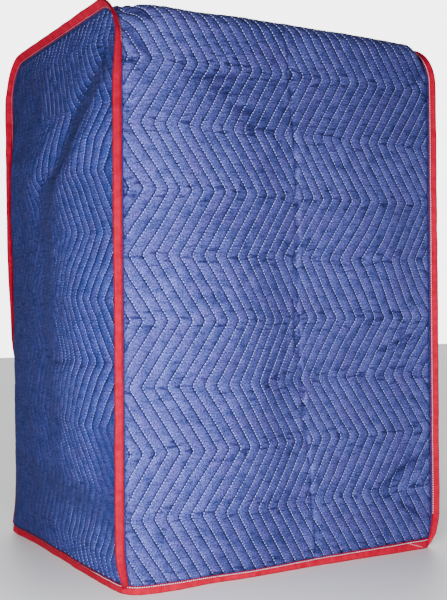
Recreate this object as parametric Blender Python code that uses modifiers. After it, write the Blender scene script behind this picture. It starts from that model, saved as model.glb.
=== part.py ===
"""A fitted cover for a tall kitchen appliance, sewn from quilted cloth and bound with tape.

One long strip of quilted cloth goes up the front, over the top and down the back. Two side
panels close it. Their edges meet the strip's edges in seams that stand outwards, and a folded
tape wraps each seam. A third tape wraps the hem all the way round. The cover is hollow and open
at the bottom. Lengths are in metres, +Z is up, the front faces -Y, and the origin is on the
floor in the middle of the hem.
"""

import math

import bmesh
import bpy
import numpy as np

# Size of the cover, between the middles of its cloth layers
WIDTH = 0.768
DEPTH = 0.678
HEIGHT = 1.165

# The strip turns over the top edges tightly in the middle and widely beside the seams
EDGE_RADIUS = 0.030
SEAM_RADIUS = 0.090
RADIUS_REACH = 0.045
CORNER_STEPS = 4
ROW_GAP = 0.018

# Quilting: pitch between the zigzag stitch lines, height and sway of half a zigzag, and for each
# kind of panel the height of a row of turns without sway and the place of its first line there
CHANNEL = 0.0254
ZIGZAG_RISE = 0.130
ZIGZAG_SWAY = 0.070
STRIP_TURN = 0.149
STRIP_FIRST_LINE = 0.017
SIDE_TURN = 0.196
SIDE_FIRST_LINE = 0.014

# Cloth thickness on a channel's crown, and where stitches or tape press it thin
CROWN_THICKNESS = 0.0060
THIN_THICKNESS = 0.0016
PUFF_REACH = 0.0127

# The hem tape is folded over the cloth's edge
HEM_TAPE_THICKNESS = 0.0015
HEM_TAPE_WIDTH = 0.0186
HEM_CLEARANCE = 0.0008
HEM_BOTTOM = HEM_TAPE_THICKNESS + 0.0003
PUFF_START = 0.034

# The seam tape is one bar, folded flat round the two seam allowances that it holds
SEAM_TAPE_NOSE = 0.0022
SEAM_TAPE_SHOULDER = 0.0052
SEAM_TAPE_WIDTH = 0.0235
SEAM_TAPE_THICKNESS = 0.0064
SEAM_BOTTOM = 0.019

# The two panels meet at a seam with their edges this far from the seam line
EDGE_OFFSET = 0.0011
EASE_REACH = 0.020

# The cloth is held straight beside a seam and moves freely this far from it
TAUT_REACH = 0.070

# Hem corners are drawn in and rounded
TUCK = 0.009
TUCK_HEIGHT = 0.050
TUCK_REACH = 0.035
WAVE_REACH = 0.150

# Soft folds of the front: place across from the left seam, place up, reach across, reach up, rise
FRONT_FOLDS = (
    (0.246, 0.420, 0.150, 0.310, 0.054),
    (0.620, 0.675, 0.105, 0.110, 0.024),
    (0.374, 0.527, 0.308, 0.236, -0.043),
    (0.168, 0.700, 0.400, 0.310, 0.029),
    (0.085, -0.030, 0.085, 0.080, 0.014),
)

# Soft folds of the back, in the same columns, with the place across counted from the right seam
BACK_FOLDS = (
    (0.250, 0.400, 0.170, 0.300, 0.0387),
    (0.560, 0.560, 0.130, 0.300, 0.016),
)

# Soft folds of each side: place back from the front seam, place up, reach back, reach up, rise
LEFT_FOLDS = (
    (0.450, 0.420, 0.190, 0.420, 0.020),
    (0.620, 0.200, 0.080, 0.200, 0.008),
    (0.200, 0.620, 0.090, 0.200, -0.005),
)
RIGHT_FOLDS = (
    (0.380, 0.450, 0.200, 0.400, 0.0228),
    (0.150, 0.300, 0.090, 0.250, 0.006),
)

# A drape crease on the left side: cloth above and behind it stands proud of the cloth below it
CREASE_TOP = (0.095, 1.070)
CREASE_FOOT = (0.420, 0.810)
CREASE_RISE = 0.010
CREASE_WIDTH = 0.020
CREASE_FADE = 0.140

# The left seam down the back wanders: height, reach up, shift to the left
BACK_WANDER = (
    (0.780, 0.120, 0.003),
    (0.380, 0.160, -0.008),
)

# How far each seam's tape leans out of the plane of the side towards the strip's outer face,
# as pairs of height and degrees: up the front edge, and down the back edge
FRONT_LEAN = ((0.0, 45.0), (0.07, 15.0), (1.00, 15.0), (1.11, 45.0))
LEFT_BACK_LEAN = (
    (0.0, 45.0),
    (0.07, 100.0),
    (0.36, 100.0),
    (0.46, -30.0),
    (0.62, -25.0),
    (0.85, -20.0),
    (1.00, 0.0),
    (1.11, 45.0),
)
RIGHT_BACK_LEAN = ((0.0, 45.0), (0.07, 20.0), (1.00, 20.0), (1.11, 45.0))

# The left seam's tape turns over quickly at these heights of the back
LEFT_TAPE_TURNS = (0.385, 0.410, 0.435)

# The hem tape's points along each panel: close together beside a corner, wider between
HEM_STEPS = 11
HEM_CORNER_DISTANCES = (0.0, 0.006, 0.013, 0.021, 0.030, 0.042, 0.070, 0.105)

LEFT = -1
RIGHT = 1

FACE_HEIGHT = HEIGHT - SEAM_RADIUS
CORNER_PATH = 2 * (SEAM_RADIUS - EDGE_RADIUS) + math.pi / 2 * EDGE_RADIUS
TOP_RUN = DEPTH - 2 * SEAM_RADIUS
STRIP_LENGTH = 2 * FACE_HEIGHT + 2 * CORNER_PATH + TOP_RUN
HEM_TAPE_OFFSET = THIN_THICKNESS / 2 + HEM_CLEARANCE + HEM_TAPE_THICKNESS / 2

BLUE = (0.118, 0.161, 0.400, 1.0)
RED = (0.730, 0.030, 0.045, 1.0)


def clear_scene():
    """Removes the objects of the start-up scene."""
    for item in list(bpy.data.objects):
        bpy.data.objects.remove(item, do_unlink=True)


def material(name, colour, roughness):
    """A plain cloth material."""
    made = bpy.data.materials.new(name)
    made.use_nodes = True
    shader = made.node_tree.nodes["Principled BSDF"]
    shader.inputs["Base Color"].default_value = colour
    shader.inputs["Roughness"].default_value = roughness
    shader.inputs["Metallic"].default_value = 0.0
    return made


def bell(value, centre, reach):
    """A smooth bump of height 1."""
    return np.exp(-(((value - centre) / reach) ** 2))


def fade(distance, reach):
    """1 at no distance, falling smoothly to 0 at the reach."""
    return np.clip(1 - distance / reach, 0, 1) ** 2


def folds(table, across, up):
    """The height of a table's soft folds at each point."""
    total = np.zeros_like(across)
    for place, level, reach_across, reach_up, rise in table:
        total += rise * bell(across, place, reach_across) * bell(up, level, reach_up)
    return total


def left_crease(back, up):
    """The step in the left side's cloth, proud above its line."""
    line = np.subtract(CREASE_FOOT, CREASE_TOP)
    length = np.hypot(*line)
    along = ((back - CREASE_TOP[0]) * line[0] + (up - CREASE_TOP[1]) * line[1]) / length
    above = ((up - CREASE_TOP[1]) * line[0] - (back - CREASE_TOP[0]) * line[1]) / length
    step = 1 / (1 + np.exp(-4 * above / CREASE_WIDTH))
    ends = fade(np.abs(along / length - 0.5), 0.75)
    return CREASE_RISE * step * ends * np.exp(-np.clip(above, 0, None) / CREASE_FADE)


def zigzag(along, turn):
    """0 at one row of a zigzag's turns, 1 at the next, straight between."""
    rows = (along - turn) / ZIGZAG_RISE
    return 1 - np.abs(np.mod(rows, 2) - 1)


def line_over_top(along, radius):
    """The strip's path seen from the side: y, z and the outward normal's y and z."""
    from_hem = np.minimum(along, STRIP_LENGTH - along)
    facing = np.where(along < STRIP_LENGTH / 2, 1.0, -1.0)
    share = np.clip((from_hem - FACE_HEIGHT) / CORNER_PATH, 0, 1)
    straight = SEAM_RADIUS - radius
    turn = math.pi / 2 * radius
    run = share * (2 * straight + turn)
    angle = np.clip((run - straight) / radius, 0, math.pi / 2)
    inwards = radius * (1 - np.cos(angle)) + np.clip(run - straight - turn, 0, None)
    inwards += np.clip(from_hem - FACE_HEIGHT - CORNER_PATH, 0, None)
    up = np.minimum(from_hem, FACE_HEIGHT) + np.minimum(run, straight) + radius * np.sin(angle)
    return facing * (inwards - DEPTH / 2), up, -facing * np.cos(angle), np.sin(angle)


def seam_shift(side, along, reach_tuck, reach_wave):
    """How far a seam is drawn from its straight place in x and y, times a fade for each cause."""
    from_hem = np.minimum(along, STRIP_LENGTH - along)
    facing = np.where(along < STRIP_LENGTH / 2, 1.0, -1.0)
    tuck = TUCK * bell(from_hem, 0, TUCK_HEIGHT) * reach_tuck
    x = -side * tuck
    y = facing * tuck
    if side == LEFT:
        front = np.where(facing > 0, 1.0, 0.0)
        y = y - 0.007 * bell(from_hem, 0, TUCK_HEIGHT) * front * reach_wave
        for level, reach, shift in BACK_WANDER:
            x = x - shift * bell(from_hem, level, reach) * (1 - front) * reach_wave
    return x, y


def seam_base(side, along):
    """A seam's own line before it is drawn straight between its stations."""
    y, z, normal_y, normal_z = line_over_top(along, SEAM_RADIUS)
    shift_x, shift_y = seam_shift(side, along, 1.0, 1.0)
    return np.stack([side * WIDTH / 2 + shift_x, y + shift_y, z], axis=-1)


def seam_lean(side, along):
    """The lean of a seam's tape in radians."""
    from_hem = np.minimum(along, STRIP_LENGTH - along)
    back = LEFT_BACK_LEAN if side == LEFT else RIGHT_BACK_LEAN
    front_lean = np.interp(from_hem, *np.transpose(FRONT_LEAN))
    back_lean = np.interp(from_hem, *np.transpose(back))
    return np.radians(np.where(along < STRIP_LENGTH / 2, front_lean, back_lean))


def strip_rows():
    """Places along the strip where its cloth has a row of points: hems, turns and corners."""
    rows = [HEM_BOTTOM, SEAM_BOTTOM, PUFF_START, STRIP_LENGTH - SEAM_BOTTOM, STRIP_LENGTH - HEM_BOTTOM]
    turn = STRIP_TURN
    while turn < STRIP_LENGTH - PUFF_START - ROW_GAP:
        rows.append(turn)
        turn += ZIGZAG_RISE
    for start in (FACE_HEIGHT, STRIP_LENGTH - FACE_HEIGHT - CORNER_PATH):
        for step in range(CORNER_STEPS + 1):
            place = start + CORNER_PATH * step / CORNER_STEPS
            if min(abs(place - row) for row in rows) > ROW_GAP:
                rows.append(place)
    return sorted(rows)


STATIONS = np.array(strip_rows())


def seam_line(side, along):
    """A seam's points, on straight lines between the rows, with the strip's outward normal there."""
    y, z, normal_y, normal_z = line_over_top(STATIONS, SEAM_RADIUS)
    point = seam_base(side, STATIONS)
    normal = np.stack([np.zeros_like(y), normal_y, normal_z], axis=-1)
    sampled = []
    for field in (point, normal):
        columns = [np.interp(along, STATIONS, field[:, axis]) for axis in range(3)]
        sampled.append(np.stack(columns, axis=-1))
    return sampled


def edge_points(side, along, way):
    """The edge of the strip (way 1) or of a side panel (way -1) along a seam."""
    point, normal = seam_line(side, along)
    return point + way * EDGE_OFFSET * math.sqrt(0.5) * (normal - np.array([side, 0.0, 0.0]))


def strip_points(across, along):
    """Places the strip's flat points in space."""
    near = np.minimum(across, WIDTH - across)
    radius = EDGE_RADIUS + (SEAM_RADIUS - EDGE_RADIUS) * bell(near, 0, RADIUS_REACH)
    y, z, normal_y, normal_z = line_over_top(along, radius)
    from_hem = np.minimum(along, STRIP_LENGTH - along)
    front = folds(FRONT_FOLDS, across, from_hem)
    back = folds(BACK_FOLDS, WIDTH - across, from_hem)
    relief = np.where(along < STRIP_LENGTH / 2, front, back) * (1 - fade(near, TAUT_REACH))
    points = np.stack([across - WIDTH / 2, y + relief * normal_y, z + relief * normal_z], axis=-1)
    for side, distance in ((LEFT, across), (RIGHT, WIDTH - across)):
        shift_x, shift_y = seam_shift(side, along, fade(distance, TUCK_REACH), fade(distance, WAVE_REACH))
        points[:, 0] += shift_x
        points[:, 1] += shift_y
        hold = np.clip(1 - distance / EASE_REACH, 0, 1)[:, None]
        points += hold * (edge_points(side, along, 1) - seam_base(side, along))
    return points


def beside_seam(y, z):
    """The seam point nearest to points of a side panel: place along the strip, y, z and distance."""
    line_y, line_z, normal_y, normal_z = line_over_top(STATIONS, SEAM_RADIUS)
    step_y = np.diff(line_y)
    step_z = np.diff(line_z)
    from_y = np.asarray(y)[..., None] - line_y[:-1]
    from_z = np.asarray(z)[..., None] - line_z[:-1]
    share = np.clip((from_y * step_y + from_z * step_z) / (step_y**2 + step_z**2), 0, 1)
    distance = np.hypot(from_y - share * step_y, from_z - share * step_z)
    best = np.argmin(distance, axis=-1)[..., None]
    fields = (STATIONS[:-1] + share * np.diff(STATIONS), line_y[:-1] + share * step_y, line_z[:-1] + share * step_z)
    nearest = [np.take_along_axis(field, best, axis=-1)[..., 0] for field in (*fields, distance)]
    return nearest


def side_points(side, back, up):
    """Places a side panel's flat points in space."""
    y = back - DEPTH / 2
    along, seam_y, seam_z, distance = beside_seam(y, up)
    if side == LEFT:
        relief = folds(LEFT_FOLDS, back, up) + left_crease(back, up)
    else:
        relief = folds(RIGHT_FOLDS, back, up)
    relief = relief * (1 - fade(distance, TAUT_REACH))
    points = np.stack([side * (WIDTH / 2 + relief), y, up], axis=-1)
    for place, from_seam in ((up, back), (STRIP_LENGTH - up, DEPTH - back)):
        shift_x, shift_y = seam_shift(side, place, fade(from_seam, TUCK_REACH), fade(from_seam, WAVE_REACH))
        points[:, 0] += shift_x
        points[:, 1] += shift_y
    shift_x, shift_y = seam_shift(side, along, 1.0, 1.0)
    drawn = np.stack([side * WIDTH / 2 + shift_x, seam_y + shift_y, seam_z], axis=-1)
    hold = np.clip(1 - distance / EASE_REACH, 0, 1)[:, None]
    points += hold * (edge_points(side, along, -1) - drawn)
    return points


def quilted_sheet(rows, width, first_line, turn):
    """A flat grid whose columns follow the zigzag of the stitch lines and of the crowns between."""
    margin = ZIGZAG_SWAY + CHANNEL
    columns = math.ceil((width + 2 * margin) / (CHANNEL / 2))
    sheet = bmesh.new()
    bmesh.ops.create_grid(sheet, x_segments=columns, y_segments=len(rows) - 1, size=0.5)
    start = first_line - math.ceil(margin / CHANNEL) * CHANNEL
    for vertex in sheet.verts:
        column = round((vertex.co.x + 0.5) * columns)
        row = round((vertex.co.y + 0.5) * (len(rows) - 1))
        along = rows[row]
        sway = ZIGZAG_SWAY * float(zigzag(along, turn))
        vertex.co = (start + column * CHANNEL / 2 + sway, along, 0.0)
    return sheet


def trim(sheet, outline):
    """Cuts a flat sheet to a convex outline, given counter-clockwise."""
    for index, point in enumerate(outline):
        following = outline[(index + 1) % len(outline)]
        direction = np.subtract(following, point)
        direction /= np.hypot(*direction)
        outside = (direction[1], -direction[0], 0.0)
        geometry = list(sheet.verts) + list(sheet.edges) + list(sheet.faces)
        bmesh.ops.bisect_plane(
            sheet, geom=geometry, dist=0.0008, plane_co=(*point, 0.0), plane_no=outside, clear_outer=True
        )
    bmesh.ops.remove_doubles(sheet, verts=sheet.verts, dist=0.0010)
    bmesh.ops.triangulate(sheet, faces=sheet.faces)


def puff(across, along, first_line, turn, inside, above_hem):
    """The share of the full thickness: thin on stitch lines, seams and under the hem tape."""
    sway = ZIGZAG_SWAY * zigzag(along, turn)
    phase = np.mod((across - first_line - sway) / CHANNEL, 1)
    crown = 1 - np.abs(2 * phase - 1)
    ease = np.clip(inside / PUFF_REACH, 0, 1) * np.clip(above_hem / (PUFF_START - SEAM_BOTTOM), 0, 1)
    thin = THIN_THICKNESS / CROWN_THICKNESS
    return thin + (1 - thin) * crown * ease


def cloth_object(name, sheet, mapping, weighting, flip, cloth):
    """Turns a flat sheet into a thick object in space."""
    flat = np.array([vertex.co[:] for vertex in sheet.verts])
    if flip:
        bmesh.ops.reverse_faces(sheet, faces=sheet.faces)
    mesh = bpy.data.meshes.new(name)
    sheet.to_mesh(mesh)
    sheet.free()
    points = mapping(flat[:, 0], flat[:, 1])
    mesh.vertices.foreach_set("co", points.astype(np.float32).ravel())
    mesh.update()
    item = bpy.data.objects.new(name, mesh)
    group = item.vertex_groups.new(name="puff")
    for index, weight in enumerate(weighting(flat[:, 0], flat[:, 1])):
        group.add([index], float(weight), "REPLACE")
    thicken(item, CROWN_THICKNESS, "puff")
    item.data.materials.append(cloth)
    return item


def thicken(item, thickness, group):
    """Gives a sheet its thickness, half to each face."""
    solid = item.modifiers.new("thickness", "SOLIDIFY")
    solid.thickness = thickness
    solid.offset = 0.0
    solid.use_even_offset = True
    solid.vertex_group = group


def body_panel(cloth):
    """The strip up the front, over the top and down the back."""
    sheet = quilted_sheet(list(STATIONS), WIDTH, STRIP_FIRST_LINE, STRIP_TURN)
    low = STATIONS[0]
    high = STATIONS[-1]
    trim(sheet, [(0, low), (WIDTH, low), (WIDTH, high), (0, high)])

    def weighting(across, along):
        inside = np.minimum(across, WIDTH - across)
        above_hem = np.minimum(along, STRIP_LENGTH - along) - SEAM_BOTTOM
        return puff(across, along, STRIP_FIRST_LINE, STRIP_TURN, inside, above_hem)

    return cloth_object("body_panel", sheet, strip_points, weighting, False, cloth)


def side_outline():
    """The flat outline of a side panel, counter-clockwise, with its rounded top corners."""
    arch = STATIONS[(STATIONS > FACE_HEIGHT - ROW_GAP) & (STATIONS < STRIP_LENGTH - FACE_HEIGHT + ROW_GAP)]
    y, z, normal_y, normal_z = line_over_top(arch, SEAM_RADIUS)
    points = [(float(place) + DEPTH / 2, float(level)) for place, level in zip(y, z)]
    return [(0.0, HEM_BOTTOM), (DEPTH, HEM_BOTTOM)] + points[::-1]


def side_rows():
    """Heights where a side panel has a row of points."""
    rows = [HEM_BOTTOM, SEAM_BOTTOM]
    turn = SIDE_TURN - ZIGZAG_RISE
    while turn < HEIGHT + ZIGZAG_RISE:
        rows.append(turn)
        turn += ZIGZAG_RISE
    return rows


def side_panel(name, side, cloth):
    """A side panel with its rounded top corners."""
    sheet = quilted_sheet(side_rows(), DEPTH, SIDE_FIRST_LINE, SIDE_TURN)
    trim(sheet, side_outline())

    def weighting(back, up):
        inside = beside_seam(back - DEPTH / 2, up)[3]
        return puff(back, up, SIDE_FIRST_LINE, SIDE_TURN, inside, up - SEAM_BOTTOM)

    def mapping(back, up):
        return side_points(side, back, up)

    return cloth_object(name, sheet, mapping, weighting, side == LEFT, cloth)


def ribbon(name, sections, loop_sections, loop_path, cloth):
    """A mesh over sections of points along a path, joined round the section or round the path."""
    rings, corners = sections.shape[:2]
    along = rings if loop_path else rings - 1
    around = corners if loop_sections else corners - 1
    sheet = bmesh.new()
    bmesh.ops.create_grid(sheet, x_segments=along, y_segments=around, size=0.5)
    for vertex in sheet.verts:
        ring = round((vertex.co.x + 0.5) * along) % rings
        corner = round((vertex.co.y + 0.5) * around) % corners
        vertex.co = sections[ring][corner]
    bmesh.ops.remove_doubles(sheet, verts=sheet.verts, dist=0.0001)
    if loop_sections:
        bmesh.ops.holes_fill(sheet, edges=sheet.edges)
    bmesh.ops.triangulate(sheet, faces=sheet.faces)
    bmesh.ops.recalc_face_normals(sheet, faces=sheet.faces)
    mesh = bpy.data.meshes.new(name)
    sheet.to_mesh(mesh)
    sheet.free()
    item = bpy.data.objects.new(name, mesh)
    item.data.materials.append(cloth)
    return item


def seam_binding(name, side, cloth):
    """The tape folded flat over one side seam, from hem to hem over the top."""
    inside = (STATIONS > SEAM_BOTTOM - 0.0001) & (STATIONS < STRIP_LENGTH - SEAM_BOTTOM + 0.0001)
    stations = list(STATIONS[inside])
    if side == LEFT:
        stations.extend(STRIP_LENGTH - height for height in LEFT_TAPE_TURNS)
    along = np.array(sorted(stations))
    point, normal = seam_line(side, along)
    lean = seam_lean(side, along)[:, None]
    outward = np.array([side, 0.0, 0.0])
    stand = np.cos(lean) * outward + np.sin(lean) * normal
    across = np.cos(lean) * normal - np.sin(lean) * outward
    half = SEAM_TAPE_THICKNESS / 2
    section = (
        (SEAM_TAPE_NOSE, 0.0),
        (SEAM_TAPE_SHOULDER, half),
        (SEAM_TAPE_WIDTH, half),
        (SEAM_TAPE_WIDTH, -half),
        (SEAM_TAPE_SHOULDER, -half),
    )
    lines = [point + out * stand + way * across for out, way in section]
    return ribbon(name, np.stack(lines, axis=1), True, False, cloth)


def hem_trace(level):
    """The plan path of the panels at one level: front, right side, back and left side."""
    def spread(length):
        corner = np.array(HEM_CORNER_DISTANCES)
        middle = np.linspace(corner[-1], length - corner[-1], HEM_STEPS)
        return np.concatenate([corner[:-1], middle, length - corner[-2::-1]])

    across = spread(WIDTH)
    back = spread(DEPTH)
    height = np.full(len(across), level)
    front_line = strip_points(across, height)
    rear_line = strip_points(across, STRIP_LENGTH - height)[::-1]
    right_line = side_points(RIGHT, back, height)
    left_line = side_points(LEFT, back, height)[::-1]
    return np.concatenate([front_line, right_line, rear_line, left_line])[:, :2]


def outward_reach(path, distance):
    """The mitred offset to the outside at each point of a closed plan path."""
    ahead = np.roll(path, -1, axis=0) - path
    ahead /= np.linalg.norm(ahead, axis=1)[:, None]
    before = np.roll(ahead, 1, axis=0)
    middle = ahead + before
    middle /= np.linalg.norm(middle, axis=1)[:, None]
    outward = np.stack([middle[:, 1], -middle[:, 0]], axis=-1)
    mitre = 1 / np.clip(np.sum(middle * ahead, axis=1), 0.5, 1)
    return (distance * mitre)[:, None] * outward


def hem_binding(cloth):
    """The tape folded over the hem, all the way round."""
    fold = HEM_TAPE_THICKNESS / 2
    lines = []
    for way, level in ((-1, HEM_TAPE_WIDTH), (-1, fold), (1, fold), (1, HEM_TAPE_WIDTH)):
        path = hem_trace(max(level, HEM_BOTTOM))
        heights = np.full((len(path), 1), level)
        plan = path + way * outward_reach(path, HEM_TAPE_OFFSET)
        lines.append(np.concatenate([plan, heights], axis=1))
    item = ribbon("hem_binding", np.stack(lines, axis=1), False, True, cloth)
    thicken(item, HEM_TAPE_THICKNESS, "")
    return item


def main():
    clear_scene()
    collection = bpy.data.collections.new("quilted_appliance_cover")
    bpy.context.scene.collection.children.link(collection)
    quilt = material("quilted_cloth", BLUE, 0.85)
    red_tape = material("binding_tape", RED, 0.75)
    pieces = [
        body_panel(quilt),
        side_panel("side_panel_left", LEFT, quilt),
        side_panel("side_panel_right", RIGHT, quilt),
        seam_binding("seam_binding_left", LEFT, red_tape),
        seam_binding("seam_binding_right", RIGHT, red_tape),
        hem_binding(red_tape),
    ]
    for piece in pieces:
        collection.objects.link(piece)


main()
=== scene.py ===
"""A fitted appliance cover of quilted cloth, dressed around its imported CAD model.

One strip of quilted cloth runs up the front, over the top and down the back, and two side panels
close it. Folded tape binds both side seams and the hem. Every piece is a surface worked out with
numpy from flat cloth coordinates: the place across the cloth and the place along it. Lengths are
in metres, +Z is up and the front faces -Y.
"""

import math
from collections import namedtuple
from functools import partial

import bmesh
import bpy
import numpy as np
from bpy.props import FloatProperty, FloatVectorProperty, PointerProperty
from mathutils import Matrix, Vector


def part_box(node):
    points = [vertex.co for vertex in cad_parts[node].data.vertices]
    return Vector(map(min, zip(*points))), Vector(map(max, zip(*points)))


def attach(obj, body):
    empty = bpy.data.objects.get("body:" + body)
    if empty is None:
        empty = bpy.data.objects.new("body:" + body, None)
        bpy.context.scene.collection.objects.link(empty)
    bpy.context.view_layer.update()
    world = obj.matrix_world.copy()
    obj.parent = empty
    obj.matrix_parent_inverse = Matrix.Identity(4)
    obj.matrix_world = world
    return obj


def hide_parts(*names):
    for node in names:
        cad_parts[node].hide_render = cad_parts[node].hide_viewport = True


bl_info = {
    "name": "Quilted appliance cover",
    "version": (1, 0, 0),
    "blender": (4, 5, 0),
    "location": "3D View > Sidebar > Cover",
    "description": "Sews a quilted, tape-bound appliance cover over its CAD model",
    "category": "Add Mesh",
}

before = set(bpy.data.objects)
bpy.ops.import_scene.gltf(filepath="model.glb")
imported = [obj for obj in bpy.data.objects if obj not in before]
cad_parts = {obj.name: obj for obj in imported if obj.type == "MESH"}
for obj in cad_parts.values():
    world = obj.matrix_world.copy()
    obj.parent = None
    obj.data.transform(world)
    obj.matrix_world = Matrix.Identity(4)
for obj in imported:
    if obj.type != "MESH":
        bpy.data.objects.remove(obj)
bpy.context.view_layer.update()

LEFT = -1
RIGHT = 1
SIDES = ((LEFT, "left"), (RIGHT, "right"))
ROOT = "root"

# Size of the cover between the middles of its cloth layers, as the CAD model has it
WIDTH = 0.768
DEPTH = 0.678
HEIGHT = 1.165

# Radius of the top's edges in the middle and at the seams, and how far the seam's radius reaches inwards
EDGE_RADIUS = 0.030
SEAM_RADIUS = 0.090
RADIUS_REACH = 0.045
RIGHT_RADIUS_REACH = 0.55 * RADIUS_REACH

# The strip's path: up a face, round a top edge, over the top, and down again
FACE_HEIGHT = HEIGHT - SEAM_RADIUS
CORNER_PATH = 2 * (SEAM_RADIUS - EDGE_RADIUS) + math.pi / 2 * EDGE_RADIUS
TOP_RUN = DEPTH - 2 * SEAM_RADIUS
STRIP_LENGTH = 2 * FACE_HEIGHT + 2 * CORNER_PATH + TOP_RUN

# Quilting: lines one inch apart in a zigzag, the rise and sway of one run, and its slightly rounded turns
CHANNEL = 0.0254
ZIGZAG_RISE = 0.130
ZIGZAG_SWAY = 0.080
TURN_REACH = 0.005

# The height of a row of turns, the slant of the rows and the first line, on each cloth
STRIP_TURN = 0.144
STRIP_SLANT = 0.0
STRIP_FIRST_LINE = 0.010
SIDE_TURN = 0.188
SIDE_SLANT = 0.050
SIDE_FIRST_LINE = 0.009

# Threads stop this far from a seam, and rise over this share of a stitch at each of its ends
SEAM_MARGIN = 0.006
THREAD_RISE = 0.16

# The lines' slow wander
WANDER = 0.0008
WANDER_CELL = 0.085

# A channel's columns of points, and its painted shade at each: lighter after a stitch line, darkest before
# the next
CHANNEL_SHARES = (0.0, 0.08, 0.26, 0.5, 0.76, 0.90)
BODY_SHADES = (0.62, 1.26, 1.10, 0.97, 0.82, 0.22)
SIDE_SHADES = (0.62, 1.30, 1.12, 0.86, 0.52, 0.22)

# The shade where the quilting lies flat
FLAT_SHADE = 0.80

# A crease this deep gets the full painted shade, and a ridge this high the full painted highlight
CREASE_SHADE = 0.0036

# How light the strip's colour is by its place across: partly painted light and shade, partly fading
PAINTED_LIGHT_AND_FADE_PLACES = (0.0, 0.05, 0.12, 0.20, 0.28, 0.35, 0.39, 0.44, 0.52, 0.62, 0.69, 0.74, 0.768)
PAINTED_LIGHT_AND_FADE_SHARES = (1.12, 1.10, 1.05, 0.90, 0.78, 0.72, 0.80, 0.94, 0.92, 0.90, 0.90, 1.02, 1.02)

# Cloth thickness at a stitch line, and the reach over which quilting rises from a bound edge
THIN = 0.0016
RISE_REACH = 0.010

# The two cloths of a seam stand this far off its line, easing away from it, and folds fade towards it
EDGE_OFFSET = 0.0011
EASE_REACH = 0.020
TAUT_REACH = 0.070

# Heights of the cloth's lower edge and of the hem tape's upper edge
HEM_BOTTOM = 0.0018
HEM_TOP = 0.0186

# Height along the strip where its quilting threads change from the front's piece to the top's
TOP_EDGE = 1.189

# Small waves of the strip and of the sides: height and cell of the slow ones, then of the quick ones
STRIP_WAVES = (0.0018, 0.090, 0.0008, 0.022)
SIDE_WAVES = (0.0022, 0.080, 0.0009, 0.020)
WAVE_MARGIN = 0.020

# Small gathers beside the seams: pitch and height on the strip and on the sides, and their reach
STRIP_GATHERS = (0.031, 0.0010)
SIDE_GATHERS = (0.028, 0.0009)
GATHER_REACH = 0.012

# How far a seam is drawn in at the hem, how high that goes, and how far from the seam the cloth follows
TUCKS = {LEFT: 0.009, RIGHT: 0.001}
TUCK_HEIGHT = 0.050
TUCK_REACH = 0.035

# How far from a seam the cloth follows its wandering, and how far the left seam's foot swings forward
WAVE_REACH = 0.150
HEM_SWING = 0.007

# The right seam is drawn in near the top: height, reach up, shift to the left
TOP_WANDER = (1.170, 0.070, 0.005)

# The hem tape's top edge up the front: places across and rise
HEM_PLACES = (0.0, 0.10, 0.30, 0.50, 0.68, 0.768)
HEM_RISES = (0.0, -0.001, -0.0025, 0.001, 0.004, 0.005)

# The hem's back left corner hangs higher
CORNER_LIFT = 0.008
CORNER_REACH = 0.034

# Soft folds: place across, place up, reach across, reach up, rise
FRONT_FOLDS = (
    (0.246, 0.420, 0.150, 0.310, 0.054),
    (0.620, 0.675, 0.105, 0.110, 0.024),
    (0.374, 0.527, 0.308, 0.236, -0.043),
    (0.168, 0.700, 0.400, 0.310, 0.029),
    (0.085, -0.030, 0.085, 0.080, 0.014),
)
BACK_FOLDS = (
    (0.250, 0.400, 0.170, 0.300, 0.0387),
    (0.560, 0.560, 0.130, 0.300, 0.016),
)
LEFT_FOLDS = (
    (0.450, 0.420, 0.190, 0.420, 0.009),
    (0.620, 0.200, 0.080, 0.200, 0.006),
)
RIGHT_FOLDS = (
    (0.380, 0.450, 0.200, 0.400, 0.0228),
    (0.150, 0.300, 0.090, 0.250, 0.006),
)

# Creases: two ends as place across and place up, half width, rise (a valley is negative)
FRONT_CREASES = (
    (0.760, 0.226, 0.600, 0.145, 0.009, -0.0040),
    (0.752, 0.190, 0.655, 0.128, 0.007, 0.0030),
    (0.752, 0.066, 0.665, 0.120, 0.008, -0.0035),
    (0.745, 0.505, 0.612, 0.452, 0.005, -0.0036),
    (0.745, 0.518, 0.640, 0.474, 0.006, 0.0024),
    (0.735, 0.488, 0.672, 0.462, 0.005, -0.0030),
    (0.565, 0.504, 0.540, 0.472, 0.004, -0.0026),
    (0.640, 0.548, 0.572, 0.512, 0.005, -0.0024),
    (0.225, 0.572, 0.130, 0.585, 0.005, -0.0026),
    (0.103, 0.739, 0.235, 0.750, 0.006, -0.0020),
    (0.102, 0.619, 0.175, 0.616, 0.006, -0.0018),
    (0.255, 0.728, 0.262, 0.640, 0.006, -0.0018),
    (0.480, 0.862, 0.560, 0.868, 0.006, -0.0018),
    (0.125, 1.022, 0.262, 1.037, 0.007, -0.0042),
    (0.175, 1.012, 0.262, 0.992, 0.007, -0.0045),
    (0.225, 0.978, 0.285, 0.958, 0.011, -0.0040),
    (0.225, 0.992, 0.290, 0.976, 0.006, 0.0030),
    (0.262, 0.936, 0.335, 0.927, 0.006, -0.0042),
    (0.100, 0.995, 0.160, 1.004, 0.005, -0.0018),
    (0.330, 0.925, 0.365, 0.893, 0.006, -0.0025),
    (0.000, 1.120, 0.060, 1.050, 0.008, -0.0050),
    (0.000, 1.060, 0.045, 1.015, 0.007, -0.0035),
    (0.010, 1.170, 0.075, 1.125, 0.008, -0.0040),
    (0.768, 1.120, 0.715, 1.060, 0.008, -0.0035),
    (0.440, 1.010, 0.425, 0.930, 0.006, -0.0016),
)
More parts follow.
